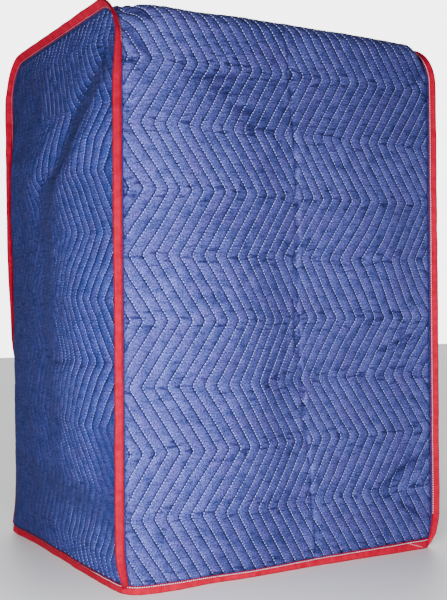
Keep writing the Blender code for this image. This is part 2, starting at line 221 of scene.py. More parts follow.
BACK_CREASES = (
    (0.320, 1.060, 0.340, 0.080, 0.008, -0.0030),
    (0.030, 0.230, 0.160, 0.150, 0.009, -0.0035),
    (0.700, 0.880, 0.560, 0.820, 0.009, -0.0030),
    (0.740, 0.300, 0.620, 0.190, 0.009, 0.0035),
    (0.000, 1.110, 0.060, 1.040, 0.008, -0.0040),
    (0.768, 1.110, 0.710, 1.040, 0.008, -0.0040),
)
LEFT_CREASES = (
    (0.060, 1.085, 0.255, 0.952, 0.009, -0.0020),
    (0.170, 0.450, 0.330, 0.438, 0.007, -0.0025),
    (0.560, 0.900, 0.500, 0.600, 0.016, -0.0010),
    (0.090, 1.110, 0.060, 1.010, 0.007, -0.0030),
)
RIGHT_CREASES = (
    (0.090, 1.060, 0.260, 0.880, 0.010, -0.0045),
    (0.600, 1.000, 0.520, 0.700, 0.012, -0.0035),
    (0.180, 0.560, 0.200, 0.260, 0.012, 0.0030),
    (0.640, 0.320, 0.480, 0.150, 0.010, -0.0035),
)

# The left side's long fold: heights and places back of its valley
VALLEY_HEIGHTS = (0.30, 0.735, 0.805, 0.842, 0.875, 0.910, 0.950, 0.988, 1.035, 1.100)
VALLEY_PLACES = (0.400, 0.425, 0.424, 0.400, 0.335, 0.298, 0.255, 0.212, 0.128, 0.060)

# The swell before the valley, the share of it that falls away, and the rise behind
FOLD_SWELL = 0.035
FOLD_DROP = 0.45
FOLD_RISE = 0.012

# By height: the way from the swell's peak to the valley, and shares of the rise and of the whole fold
FOLD_LEADS = ((0.60, 0.80), (0.240, 0.185))
FOLD_REAR = ((0.70, 0.84), (0.0, 1.0))
FOLD_STRENGTHS = ((0.10, 0.22, 0.42, 0.90, 1.02, 1.12), (0.15, 0.60, 1.00, 1.00, 0.62, 0.30))

# The fold mark down the middle of the front: height and place across
MARK_HEIGHTS = (0.034, 0.187, 0.360, 0.596, 0.788, 1.108)
MARK_PLACES = (0.446, 0.429, 0.412, 0.396, 0.391, 0.383)

# The left seam down the back wanders: height, reach up, shift to the left
BACK_WANDER = (
    (0.780, 0.120, 0.003),
    (0.380, 0.160, -0.008),
    (0.000, 0.055, 0.017),
)

# Lean of each seam's tape out of the side's plane, up the front and down the back: heights and degrees
LEANS = {
    LEFT: (
        ((0.0, 0.07, 1.00, 1.11), (45.0, 15.0, 15.0, 45.0)),
        (
            (0.0, 0.07, 0.300, 0.316, 0.43, 0.49, 0.62, 0.85, 1.00, 1.11),
            (90.0, 108.0, 108.0, -60.0, -55.0, -34.0, -28.0, -20.0, 0.0, 45.0),
        ),
    ),
    RIGHT: (
        ((0.0, 0.07, 0.98, 1.12, 1.20, 1.32, 1.45), (45.0, 15.0, 12.0, 14.0, 10.0, 6.0, 45.0)),
        ((0.0, 0.07, 1.00, 1.11), (45.0, 20.0, 20.0, 45.0)),
    ),
}

# Where the left tape down the back turns behind the cover it is pinched
PINCH_HEIGHT = 0.308
PINCH_REACH = 0.026

# Tape: its width laid flat, how far off its seam it starts, and how low it reaches at each side
TAPE_FLAT = 0.050
SEAM_TAPE_START = 0.0030
SEAM_BOTTOM = 0.0190
RIGHT_SEAM_BOTTOM = 0.0050

# The right tape's tail: heights with shares of the full width, and how far it is pulled in, and below where
TAIL_WIDTHS = ((0.005, 0.012, 0.030, 0.070), (0.22, 0.46, 0.74, 1.0))
TAIL_PULL = 0.0020
TAIL_HEIGHT = 0.032

# Half of the hem tape's thickness, and the numbers of rings of points along the tapes
HEM_HALF = 0.0026
SEAM_RINGS = 560
ALLOWANCE_RINGS = 440
HEM_RINGS = 560

# A seam allowance's section as pairs of distance from the seam and half thickness, and its painted shade
ALLOWANCE = ((-0.0016, 0.0004), (0.0006, 0.0017), (0.0035, 0.0019), (0.0150, 0.0015))
ALLOWANCE_SHADE = 0.55

# The tape's red is scaled by this slope along x, y and z, plus this level: painted light, brighter towards
# the right and the back
TAPE_PAINTED_LIGHT_SLOPE = (0.43, 0.33, 0.0)
TAPE_PAINTED_LIGHT_LEVEL = 1.30

# The tapes' stitches: pitch, number round the hem, lowest at the right, and widths that show or hardly do
TAPE_PITCH = 0.0055
HEM_STITCHES = 620
RIGHT_STITCH_START = 0.074
RIGHT_STITCH_WIDTH = 0.0029
HIDDEN_STITCH_WIDTH = 0.0007
HEM_STITCH_WIDTH = 0.0023

# A tape's stitch: its four points' shares of the pitch and lifts off the tape
TAPE_STITCH = ((0.06, -0.0003), (0.22, 0.0003), (0.76, 0.0003), (0.92, -0.0003))

# The slanting stitches where the hem tape's ends lap: first place, number, slope and width
LAP_START = WIDTH - 0.072
LAP_STITCHES = 8
LAP_SLOPE = 0.26
LAP_WIDTH = 0.0019

# Below the hem tape's stitch line lies a second line, this much lower, that the slanting ones go towards
LAP_DROP = 0.011

# Size of the square of random values that noise reads
NOISE_SIZE = 64

# Points closer than this are merged, in a sheet of cloth and in a tape
SHEET_MERGE = 0.0003
TAPE_MERGE = 0.00005

# Cloth may leave its CAD node's box by this much
SLACK = 0.030

# Stage: the floor's half width, the lights' target, the lit wall's direction, and the camera
FLOOR_REACH = 9.0
LIGHT_TARGET = (0.0, 0.0, 0.6)
WALL_DIRECTION = (0.49, 0.87, 0.0)
CAMERA_PLACE = (-1.184, -2.170, 0.563)
CAMERA_ANGLES = (29.21, 0.33, -0.41)


class CoverQuilting(bpy.types.PropertyGroup):
    """Sizes and colours of the quilted cloth."""

    puff: FloatProperty(
        name="Puff", description="Height of a channel's crown over its stitch lines",
        default=0.0043, unit="LENGTH"
    )
    lining_puff: FloatProperty(
        name="Lining puff", description="Height of a crown on the inner face",
        default=0.0018, unit="LENGTH"
    )
    thread_width: FloatProperty(
        name="Thread width", description="Width of the quilting thread", default=0.0022, unit="LENGTH"
    )
    stitch_pitch: FloatProperty(
        name="Stitch pitch", description="Length of a stitch with its gap", default=0.0066, unit="LENGTH"
    )
    stitch_share: FloatProperty(
        name="Stitch share", description="Part of the pitch that shows as thread",
        default=0.78, subtype="FACTOR"
    )
    light_blue: FloatVectorProperty(
        name="Light blue", description="Worn, lighter cloth",
        default=(0.084, 0.092, 0.322), subtype="COLOR"
    )
    deep_blue: FloatVectorProperty(
        name="Deep blue", description="Cloth in its full colour",
        default=(0.022, 0.031, 0.130), subtype="COLOR"
    )
    # The side panels' colours are the body cloth's with painted shade: darker, and a deeper blue
    shaded_side_light_blue: FloatVectorProperty(
        name="Side light blue", description="The side panels' lighter cloth",
        default=(0.062, 0.075, 0.290), subtype="COLOR"
    )
    shaded_side_deep_blue: FloatVectorProperty(
        name="Side deep blue", description="The side panels' full colour",
        default=(0.015, 0.032, 0.165), subtype="COLOR"
    )
    thread: FloatVectorProperty(
        name="Thread", description="Colour of the thread", default=(0.39, 0.42, 1.0), subtype="COLOR"
    )
    # The side panels' thread is the same thread with painted shade: darker and bluer
    side_thread: FloatVectorProperty(
        name="Side thread", description="Colour of the side panels' thread",
        default=(0.25, 0.30, 0.95), subtype="COLOR"
    )


class CoverBinding(bpy.types.PropertyGroup):
    """Sizes and colours of the folded tape."""

    seam_width: FloatProperty(
        name="Seam tape width", description="From the seam to the tape's fold",
        default=0.0235, unit="LENGTH"
    )
    half_thickness: FloatProperty(
        name="Half thickness", description="From the tape's middle to its face",
        default=0.0032, unit="LENGTH"
    )
    tape_thickness: FloatProperty(
        name="Tape thickness", description="Of one layer of tape", default=0.0010, unit="LENGTH"
    )
    stitch_inset: FloatProperty(
        name="Stitch inset", description="From the tape's edge to its stitch line",
        default=0.0034, unit="LENGTH"
    )
    red: FloatVectorProperty(
        name="Red", description="Colour of the tape", default=(0.455, 0.0010, 0.028), subtype="COLOR"
    )
    thread: FloatVectorProperty(
        name="Thread", description="Colour of the tape's thread",
        default=(0.80, 0.78, 0.95), subtype="COLOR"
    )
    deep_red: FloatVectorProperty(
        name="Deep red", description="The tape's darker threads",
        default=(0.315, 0.0006, 0.015), subtype="COLOR"
    )


class CoverStudio(bpy.types.PropertyGroup):
    """The floor, the lights and the camera."""

    lens: FloatProperty(name="Lens", description="Focal length", default=61.2, unit="CAMERA")
    key_power: FloatProperty(
        name="Key light", description="Power of the key light", default=40.0, unit="POWER"
    )
    fill_power: FloatProperty(
        name="Fill light", description="Power of the fill light", default=3.5, unit="POWER"
    )
    top_power: FloatProperty(
        name="Top light", description="Power of the top light", default=8.0, unit="POWER"
    )
    sky: FloatProperty(name="Sky", description="Brightness of the pale surroundings", default=0.28)
    backdrop: FloatProperty(
        name="Backdrop", description="Brightness of the lit wall behind", default=5.0
    )
    floor: FloatVectorProperty(
        name="Floor", description="Colour of the floor", default=(0.93, 0.93, 0.93), subtype="COLOR"
    )


def bell(value, centre, reach):
    """A bump of height 1: e to the minus square of the distance from the centre over the reach."""
    return np.exp(-(((value - centre) / reach) ** 2))


def fade(distance, reach):
    """1 at no distance, falling as the square of what is left of the reach."""
    return np.clip(1 - distance / reach, 0, 1) ** 2


def from_hem_of(along):
    """How far each place along the strip is from the nearer hem."""
    return np.minimum(along, STRIP_LENGTH - along)


def in_front(along):
    """Whether each place along the strip is in its front half."""
    return along < STRIP_LENGTH / 2


def smooth_noise(x, y, cell, seed):
    """Noise from -1 to 1: random values on a square lattice, blended by 3t^2 - 2t^3 between them."""
    values = np.random.default_rng(seed).uniform(-1, 1, (NOISE_SIZE, NOISE_SIZE))
    column, across = np.divmod(np.asarray(x) / cell, 1)
    row, up = np.divmod(np.asarray(y) / cell, 1)
    across = across * across * (3 - 2 * across)
    up = up * up * (3 - 2 * up)
    column = column.astype(int) % NOISE_SIZE
    row = row.astype(int) % NOISE_SIZE
    right = (column + 1) % NOISE_SIZE
    above = (row + 1) % NOISE_SIZE
    low = values[row, column] * (1 - across) + values[row, right] * across
    high = values[above, column] * (1 - across) + values[above, right] * across
    return low * (1 - up) + high * up


def line_noise(place, cell, seed):
    """Noise from -1 to 1 along a line."""
    return smooth_noise(place, place * 0, cell, seed)


def folds(table, across, up):
    """The sum of the table's bumps, each a bell across times a bell up."""
    total = np.zeros(np.broadcast(across, up).shape)
    for place, level, reach_across, reach_up, rise in table:
        total += rise * bell(across, place, reach_across) * bell(up, level, reach_up)
    return total


def creases(table, across, up):
    """The sum of the table's creases.

    Each is a bell of the distance from its line, which wobbles a little, and it fades to its ends.
    """
    total = np.zeros(np.broadcast(across, up).shape)
    for start_across, start_up, end_across, end_up, width, rise in table:
        run_across = end_across - start_across
        run_up = end_up - start_up
        length = math.hypot(run_across, run_up)
        along = ((across - start_across) * run_across + (up - start_up) * run_up) / length
        aside = ((up - start_up) * run_across - (across - start_across) * run_up) / length
        aside = aside + 0.3 * width * smooth_noise(along, np.full_like(along, length), 0.03, 5)
        ends = np.clip(along / length, 0, 1) * np.clip(1 - along / length, 0, 1) * 4
        total += rise * bell(aside, 0, width) * np.sqrt(ends)
    return total


def fold_mark(across, up):
    """The mark of the cloth's old fold: a narrow valley with a ridge at each side, broken up by noise."""
    aside = across - np.interp(up, MARK_HEIGHTS, MARK_PLACES) - 0.0030 * line_noise(up, 0.045, 11)
    strength = 0.65 + 0.35 * line_noise(up, 0.06, 12)
    valley = -0.0042 * bell(aside, 0, 0.0050)
    ridges = 0.0022 * bell(aside, -0.0115, 0.0060) + 0.0030 * bell(aside, 0.0105, 0.0055)
    return strength * (valley + ridges) * np.clip((1.16 - up) / 0.05, 0, 1)


def fold_valley(up):
    """How far back the left side's valley lies at each height, with a slow waver."""
    return np.interp(up, VALLEY_HEIGHTS, VALLEY_PLACES) + 0.004 * line_noise(up, 0.06, 8)


def left_fold(back, up):
    """The left side's long fold: a swell behind the front seam, a soft fall to the valley, a rise behind."""
    valley = fold_valley(up)
    lead = np.minimum(np.interp(up, *FOLD_LEADS), 0.6 * valley)
    peak = valley - lead
    swell = 1 - (1 - np.clip(back / peak, 0, 1)) ** 1.3
    fall = np.clip((back - peak) / lead, 0, 1)
    fall = fall * fall * (3 - 2 * fall)
    behind = np.clip((back - valley) / 0.085, 0, 1)
    front = FOLD_SWELL * (swell - FOLD_DROP * fall) * np.clip(valley / 0.30, 0, 1)
    rear = FOLD_RISE * behind * (2 - behind) * np.clip((DEPTH - back) / 0.25, 0, 1)
    rear = rear * np.interp(up, *FOLD_REAR)
    return np.interp(up, *FOLD_STRENGTHS) * (front + rear)


def zigzag(along, turn):
    """Sway of the stitch lines: straight runs between turn rows, and a parabola within TURN_REACH of each."""
    place = (along - turn) / ZIGZAG_RISE
    row = np.round(place)
    near = np.abs(place - row) * ZIGZAG_RISE
    bend = TURN_REACH / 2 + near * near / (2 * TURN_REACH)
    share = np.where(near < TURN_REACH, bend, near) / ZIGZAG_RISE
    return ZIGZAG_SWAY * np.where(np.mod(row, 2) > 0.5, 1 - share, share)


def quilt_place(column, along, turn, slant):
    """Where a flat column of the quilting lies at each place along: the column, its sway and a slow wander.

    The rows of turns are slanted by a share of the column.
    """
    wander = WANDER * smooth_noise(column, along, WANDER_CELL, 21)
    return column + zigzag(along, turn + slant * column) + wander


def line_over_top(along, radius):
    """The strip's path from the side: up, round a quarter circle of the radius, over and down."""
    from_hem = from_hem_of(along)
    facing = np.where(in_front(along), 1.0, -1.0)
    share = np.clip((from_hem - FACE_HEIGHT) / CORNER_PATH, 0, 1)
    straight = SEAM_RADIUS - radius
    turn = math.pi / 2 * radius
    run = share * (2 * straight + turn)
    angle = np.clip((run - straight) / radius, 0, math.pi / 2)
    inwards = radius * (1 - np.cos(angle)) + np.clip(run - straight - turn, 0, None)
    inwards += np.clip(from_hem - FACE_HEIGHT - CORNER_PATH, 0, None)
    up = np.minimum(from_hem, FACE_HEIGHT) + np.minimum(run, straight) + radius * np.sin(angle)
    return facing * (inwards - DEPTH / 2), up, -facing * np.cos(angle), np.sin(angle)


def seam_shift(side, along, reach_tuck, reach_wave):
    """How far a seam is drawn from its straight place in x and y: a tuck at the hem and slow wandering."""
    from_hem = from_hem_of(along)
    facing = np.where(in_front(along), 1.0, -1.0)
    tuck = bell(from_hem, 0, TUCK_HEIGHT) * reach_tuck
    x = -side * TUCKS[side] * tuck
    y = facing * TUCKS[LEFT] * tuck
    if side == LEFT:
        front = np.where(facing > 0, 1.0, 0.0)
        y = y - HEM_SWING * bell(from_hem, 0, TUCK_HEIGHT) * front * reach_wave
        for level, reach, shift in BACK_WANDER:
            x = x - shift * bell(from_hem, level, reach) * (1 - front) * reach_wave
    else:
        level, reach, shift = TOP_WANDER
        x = x - shift * bell(from_hem, level, reach) * reach_wave
    return x, y


def seam_path(side, along):
    """A seam's points and the strip's outward normals there."""
    y, z, normal_y, normal_z = line_over_top(along, SEAM_RADIUS)
    shift_x, shift_y = seam_shift(side, along, 1.0, 1.0)
    point = np.stack([side * WIDTH / 2 + shift_x, y + shift_y, z], axis=-1)
    return point, np.stack([np.zeros_like(y), normal_y, normal_z], axis=-1)


def seam_lean(side, along):
    """The lean of a seam's tape in radians, read from its tables, with a slow waver."""
    front, back = (np.interp(from_hem_of(along), *table) for table in LEANS[side])
    waver = 4.0 * line_noise(along, 0.11, 31 + side)
    return np.radians(np.where(in_front(along), front, back) + waver)


def gathers(run, noise, distance, pitch, rise):
    """Small gathers beside a seam: a sine along it, shaken by noise, times a bell of the distance."""
    wave = np.sin(run * 2 * math.pi / pitch + 2.0 * noise)
    return rise * wave * bell(distance, GATHER_REACH, GATHER_REACH)


def follow_seam(points, side, along, distance):
    """Moves points with the shift of their seam, less the further they are from it."""
    shift_x, shift_y = seam_shift(side, along, fade(distance, TUCK_REACH), fade(distance, WAVE_REACH))
    points[..., 0] += shift_x
    points[..., 1] += shift_y


def stand_off(points, distance, x, y, z):
    """Moves points near a seam off its line along x, y and z, so that its two cloths lie side by side."""
    hold = EDGE_OFFSET * math.sqrt(0.5) * np.clip(1 - distance / EASE_REACH, 0, 1)
    points[..., 0] += hold * x
    points[..., 1] += hold * y
    points[..., 2] += hold * z


def strip_creases(across, along):
    """The strip's creases: the front's with its fold mark, and the back's, read from its own side."""
    from_hem = from_hem_of(along)
    front = creases(FRONT_CREASES, across, from_hem) + fold_mark(across, from_hem)
    return np.where(in_front(along), front, creases(BACK_CREASES, WIDTH - across, from_hem))


def strip_surface(across, along):
    """The strip's middle surface: its path over the top, plus folds and creases along the path's normal."""
    near = np.minimum(across, WIDTH - across)
    reach = np.where(across < WIDTH / 2, RADIUS_REACH, RIGHT_RADIUS_REACH)
    radius = EDGE_RADIUS + (SEAM_RADIUS - EDGE_RADIUS) * bell(near, 0, reach)
    y, z, normal_y, normal_z = line_over_top(along, radius)
    from_hem = from_hem_of(along)
    rear = WIDTH - across
    front = folds(FRONT_FOLDS, across, from_hem)
    back = folds(BACK_FOLDS, rear, from_hem)
    slow, slow_cell, quick, quick_cell = STRIP_WAVES
    relief = np.where(in_front(along), front, back) + slow * smooth_noise(across, along, slow_cell, 41)
    relief += strip_creases(across, along)
    relief = relief * (1 - fade(near, TAUT_REACH))
    relief += quick * smooth_noise(across, along, quick_cell, 42) * np.clip(near / WAVE_MARGIN, 0, 1)
    relief += gathers(along, line_noise(along, 0.07, 43), near, *STRIP_GATHERS)
    points = np.stack([across - WIDTH / 2, y + relief * normal_y, z + relief * normal_z], axis=-1)
    for side, distance in ((LEFT, across), (RIGHT, rear)):
        follow_seam(points, side, along, distance)
        stand_off(points, distance, -side, normal_y, normal_z)
    points[..., 2] += corner_lift(points[..., 0], points[..., 1], points[..., 2])
    return points


def beside_outline(back, up):
    """A side panel's distance to its rounded outline, and the y and z of the outward direction there."""
    in_back = np.minimum(back, DEPTH - back)
    to_back = np.where(back > DEPTH / 2, 1.0, -1.0)
    beyond_y = SEAM_RADIUS - in_back
    beyond_z = up - FACE_HEIGHT
    corner = (beyond_y > 0) & (beyond_z > 0)
    reach = np.maximum(np.hypot(beyond_y, beyond_z), 1e-9)
    edge_is_top = HEIGHT - up < in_back
    distance = np.where(corner, SEAM_RADIUS - reach, np.minimum(in_back, HEIGHT - up))
    out_y = np.where(corner, beyond_y / reach, np.where(edge_is_top, 0.0, 1.0)) * to_back
    out_z = np.where(corner, beyond_z / reach, np.where(edge_is_top, 1.0, 0.0))
    return distance, out_y, out_z


def side_creases(side, back, up):
    """A side panel's creases."""
    return creases(LEFT_CREASES if side == LEFT else RIGHT_CREASES, back, up)


def side_surface(side, back, up):
    """A side panel's middle surface: its plane, plus folds and creases outwards."""
    distance, out_y, out_z = beside_outline(back, up)
    relief = side_creases(side, back, up)
    if side == LEFT:
        relief = relief + folds(LEFT_FOLDS, back, up) + left_fold(back, up)
    else:
        relief = relief + folds(RIGHT_FOLDS, back, up)
    slow, slow_cell, quick, quick_cell = SIDE_WAVES
    relief += slow * smooth_noise(back, up, slow_cell, 51 + side)
    relief = relief * (1 - fade(distance, TAUT_REACH))
    relief += quick * smooth_noise(back, up, quick_cell, 54 + side) * np.clip(distance / WAVE_MARGIN, 0, 1)
    relief += gathers(up - back, smooth_noise(up, back, 0.07, 57), distance, *SIDE_GATHERS)
    points = np.stack([side * (WIDTH / 2 + relief), back - DEPTH / 2, up], axis=-1)
    follow_seam(points, side, up, back)
    follow_seam(points, side, STRIP_LENGTH - up, DEPTH - back)
    stand_off(points, distance, side, -out_y, -out_z)
    points[..., 2] += corner_lift(points[..., 0], points[..., 1], points[..., 2])
    return points


def strip_inside(across, along):
    """The strip's distance to its nearest seam, and to the top of its hem tape."""
    rise = np.interp(across, HEM_PLACES, HEM_RISES) * in_front(along)
    return np.minimum(across, WIDTH - across), from_hem_of(along) - HEM_TOP - rise


def corner_lift(x, y, z):
    """How far the back left corner is lifted: a bell of the distance from it, fading up the cloth."""
    away = np.hypot(x + WIDTH / 2, y - DEPTH / 2)
    return CORNER_LIFT * bell(away, 0, CORNER_REACH) * np.clip(1 - z / 0.07, 0, 1)


def side_inside(back, up):
    """A side panel's distance to its nearest seam, and to the top of its hem tape."""
    return beside_outline(back, up)[0], up - HEM_TOP


def crown(phase, inside, above_hem):
    """0 on a stitch line and 1 on the crown: an arch leaning towards the next line, eased at bound edges."""
    aside = np.abs(2 * np.mod(phase, 1) ** 1.6 - 1)
    arch = (1 - aside**2.4) ** 0.85
    from_seam, from_tape = (np.sqrt(np.clip(reach / RISE_REACH, 0, 1)) for reach in (inside, above_hem))
    return arch * from_seam * from_tape


def loft(across, along):
    """How full the wadding is: 1, with slow and quick variation."""
    return 1 + 0.14 * smooth_noise(across, along, 0.05, 61) + 0.16 * smooth_noise(across, along, 0.014, 62)


def taut(along):
    """How full the quilting is up a panel: flattened where the strip turns over its two top edges."""
    return 1 - 0.55 * bell(from_hem_of(along), FACE_HEIGHT + CORNER_PATH / 2, 0.030)


def strip_fullness(across, along):
    """The strip's quilting is full all over."""
    return np.ones_like(across)


def side_fullness(side, back, up):
    """How full a side panel's quilting is: less behind and low down, and flatter beside the left valley."""
    behind = np.clip((back - 0.36) / 0.14, 0, 1)
    full = 1 - np.interp(up, (0.62, 0.80), (0.65, 0.28)) * behind
    full = full * (1 - 0.75 * bell(up, 0.160, 0.030))
    if side == LEFT:
        in_fall = bell(back, fold_valley(up) - 0.055, 0.045)
        full = full * (1 - 0.9 * (in_fall * np.clip(np.interp(up, *FOLD_STRENGTHS), 0, 1)))
        beside_tape = np.clip((0.12 - back) / 0.05, 0, 1) * np.clip((0.36 - up) / 0.06, 0, 1)
        full = full * (1 - 0.7 * beside_tape * np.clip((up - 0.09) / 0.04, 0, 1))
    return full


def strip_painted_light_and_fade(across, along):
    """How light the strip is: painted light and shade with some fading, by its place across, more high up at
    the left and less at the right.
    """
    from_hem = from_hem_of(along)
    high = np.clip((from_hem - 0.72) / 0.20, 0, 1) * np.clip(1 - across / 0.14, 0, 1)
    upper = np.clip((from_hem - 0.86) / 0.16, 0, 1) * np.clip((across - 0.40) / 0.20, 0, 1)
    return np.interp(across, PAINTED_LIGHT_AND_FADE_PLACES, PAINTED_LIGHT_AND_FADE_SHARES) * (1 + 0.22 * high) * (1 - 0.14 * upper)


def side_painted_light(back, up):
    """How light a side panel is: painted light, more towards its front."""
    return np.interp(back, (0.0, 0.24, 0.40, DEPTH), (0.90, 0.90, 0.86, 0.82))


def face_points(surface, outwards, across, along, lift):
    """Points at a lift over a middle surface, and the surface's normals, from central differences."""
    step = 0.0015
    ahead = surface(across, along + step) - surface(across, along - step)
    aside = surface(across + step, along) - surface(across - step, along)
    normal = np.cross(aside, ahead) * outwards
    normal /= np.linalg.norm(normal, axis=-1, keepdims=True)
    return surface(across, along) + normal * lift[..., None], normal


def mesh_object(name, points, faces, finish, smooth=True):
    """An object from an array of points and an array of faces with equal numbers of corners."""
    mesh = bpy.data.meshes.new(name)
    corners = faces.shape[1]
    mesh.vertices.add(len(points))
    mesh.vertices.foreach_set("co", points.astype(np.float32).ravel())
    mesh.loops.add(faces.size)
    mesh.loops.foreach_set("vertex_index", faces.astype(np.int32).ravel())
    mesh.polygons.add(len(faces))
    mesh.polygons.foreach_set("loop_start", np.arange(0, faces.size, corners, dtype=np.int32))
    mesh.polygons.foreach_set("loop_total", np.full(len(faces), corners, dtype=np.int32))
    mesh.polygons.foreach_set("use_smooth", np.full(len(faces), smooth))
    mesh.update(calc_edges=True)
    mesh.materials.append(finish)
    item = bpy.data.objects.new(name, mesh)
    bpy.context.scene.collection.objects.link(item)
    return item


def add_uv(item, uv):
    """Gives a mesh its UV map, in metres of flat cloth, from one pair of numbers a point."""
    mesh = item.data
    corner = np.empty(len(mesh.loops), dtype=np.int32)
    mesh.loops.foreach_get("vertex_index", corner)
    layer = mesh.uv_layers.new(name="cloth")
    layer.data.foreach_set("uv", uv[corner].astype(np.float32).ravel())


def merge_points(item, distance):
    """Merges points that lie together and turns all faces outwards."""
    shape = bmesh.new()
    shape.from_mesh(item.data)
    bmesh.ops.remove_doubles(shape, verts=shape.verts, dist=distance)
    bmesh.ops.recalc_face_normals(shape, faces=shape.faces)
    shape.to_mesh(item.data)
    shape.free()
    item.data.update()


def add_shade(item, shade):
    """Gives a cloth's points their shade, 1 where it is fully lit."""
    made = item.data.attributes.new("crown", "FLOAT", "POINT")
    made.data.foreach_set("value", shade.astype(np.float32))


def closed_sheet(name, outer, inner, uv, shade, finish):
    """A sheet's outer and inner grids of points, joined round their rim into one closed mesh."""
    rows, columns = outer.shape[:2]
    count = rows * columns
    index = np.arange(count).reshape(rows, columns)
    quads = np.stack([index[:-1, :-1], index[:-1, 1:], index[1:, 1:], index[1:, :-1]], axis=-1).reshape(-1, 4)
    rim = np.concatenate([index[0], index[1:, -1], index[-1, -2::-1], index[-2:0:-1, 0]])
    following = np.roll(rim, -1)
    walls = np.stack([following, rim, rim + count, following + count], axis=-1)
    faces = np.concatenate([quads, quads[:, ::-1] + count, walls])
    points = np.concatenate([outer.reshape(-1, 3), inner.reshape(-1, 3)])
    item = mesh_object(name, points, faces, finish)
    add_uv(item, np.concatenate([uv.reshape(-1, 2)] * 2))
    add_shade(item, np.concatenate([shade.ravel()] * 2))
    merge_points(item, SHEET_MERGE)
    return item


def ring_faces(rings, around, closed):
    """Quads between neighbouring rings of points, with the last ring joined to the first if closed.

    Otherwise each end gets a cap of quads, which join the first half of its ring to the second.
    """
    index = np.arange(rings * around).reshape(rings, around)
    if closed:
        index = np.concatenate([index, index[:1]])
    near = index[:-1]
    far = index[1:]
    quads = np.stack([near, far, np.roll(far, -1, axis=1), np.roll(near, -1, axis=1)], axis=-1).reshape(-1, 4)
    if closed:
        return quads
    place = np.arange(around // 2 - 1)
    cap = np.stack([place, place + 1, around - 2 - place, around - 1 - place], axis=-1)
    return np.concatenate([quads, cap, cap[:, ::-1] + (rings - 1) * around])


def swept_fold(name, outer, inner, lengths, closed, finish):
    """A folded tape: an outer and an inner line of points at each ring along a path, closed by walls."""
    rings, corners = outer.shape[:2]
    loop = np.concatenate([outer, inner[:, ::-1]], axis=1)
    item = mesh_object(name, loop.reshape(-1, 3), ring_faces(rings, 2 * corners, closed), finish)
    width = np.linspace(0, TAPE_FLAT, corners)
    round_width = np.concatenate([width, width[::-1]])
    uv = np.stack(np.broadcast_arrays(round_width[None, :], lengths[:, None]), axis=-1)
    add_uv(item, uv.reshape(-1, 2))
    merge_points(item, TAPE_MERGE)
    return item


def sheet_columns(width, first_line):
    """Flat columns of the quilting, six to a channel, with a margin that the zigzag sways into."""
    start = math.floor(-(ZIGZAG_SWAY + CHANNEL) / CHANNEL)
    stop = math.ceil((width + CHANNEL) / CHANNEL) + 1
    shares = np.add.outer(np.arange(start, stop), CHANNEL_SHARES).ravel()
    return first_line + shares * CHANNEL, shares


def run_rows(places, parts):
    """Rows from each place to the next in so many equal parts, without the last place."""
    runs = zip(places, places[1:], parts)
    return [np.linspace(start, stop, count, endpoint=False) for start, stop, count in runs]


def strip_rows():
    """Rows of points along the strip: fine up the front and over its top edge, coarser behind."""
    turns = STRIP_TURN - ZIGZAG_RISE + ZIGZAG_RISE * np.arange(24)
    last = STRIP_LENGTH - HEM_BOTTOM
    places = (HEM_BOTTOM, *turns[[0, 8, 10, 13, 15, 22]], STRIP_LENGTH - HEM_TOP, last)
    return np.concatenate([*run_rows(places, (4, 128, 36, 24, 24, 42, 6, 3)), [last]])


def side_rows():
    """Heights of a side panel's rows of points: even up the face, then by equal angles round the corners."""
    first = SIDE_TURN - ZIGZAG_RISE
    places = (HEM_BOTTOM, HEM_TOP, first, first + ZIGZAG_RISE * 7, FACE_HEIGHT)
    corner = FACE_HEIGHT + SEAM_RADIUS * np.sin(np.linspace(0, math.pi / 2, 19))
    return np.concatenate([*run_rows(places, (3, 6, 119, 13)), corner])


def strip_lift(across, along):
    """How far the strip's threads stand up: the same all over."""
    return 0.0008


def side_lift(side, back, up):
    """How far a side's threads stand up: they sink into the cloth where its quilting is flat."""
    return 0.0016 - 0.0078 * (1 - side_fullness(side, back, up))


def strip_limits(along):
    """The strip's two edges across."""
    return np.zeros_like(along), np.full_like(along, WIDTH)


def side_limits(up):
    """A side panel's two edges: straight, then a quarter circle at each top corner."""
    rise = np.clip(up - FACE_HEIGHT, 0, SEAM_RADIUS)
    inset = SEAM_RADIUS - np.sqrt(SEAM_RADIUS**2 - rise**2)
    return inset, DEPTH - inset


# A quilted panel: functions of the places across and along it, which side is out, and its quilting rows
# The field after fullness holds the panel's painted light and shade, with some fading on the strip
Panel = namedtuple(
    "Panel",
    "surface creases inside fullness wear limits lift outwards width turn slant first_line shades origin",
)


def strip_panel():
    """What the body cloth is made by."""
    return Panel(
        strip_surface, strip_creases, strip_inside, strip_fullness, strip_painted_light_and_fade, strip_limits, strip_lift, 1,
        WIDTH, STRIP_TURN, STRIP_SLANT, STRIP_FIRST_LINE, BODY_SHADES, 0.0
    )


def side_panel(side):
    """What a side cloth is made by."""
    own = (side_surface, side_creases, side_fullness, side_lift)
    surface, marks, full, lift = (partial(shape, side) for shape in own)
    return Panel(
        surface, marks, side_inside, full, side_painted_light, side_limits, lift, side,
        DEPTH, SIDE_TURN, SIDE_SLANT, SIDE_FIRST_LINE, SIDE_SHADES, 2.0 + side
    )


def sheet_shade(panel, share, across, along, near, above_hem, full):
    """The cloth's painted shade: by its place in the channel, darker in creases and beside tapes, times its
    painted light and fading, lighter on ridges.
    """
    bend = panel.creases(across, along) / CREASE_SHADE
    shade = np.interp(np.mod(share, 1), (*CHANNEL_SHARES, 1.0), (*panel.shades, panel.shades[0]))
    shade = FLAT_SHADE + (shade - FLAT_SHADE) * full
    # Painted shade in creases, times the panel's painted light and shade
    shade = shade * (1 - 0.6 * np.clip(-bend, 0, 1)) * panel.wear(across, along)
    # Painted shade beside the seam tapes and just above the hem tape
    shade = shade * np.clip(0.75 + near / 0.012, 0, 1) * np.clip(0.7 + above_hem / 0.010, 0, 1)
    # Painted highlight on ridges
    return shade + 0.4 * np.clip(bend, 0, 1)


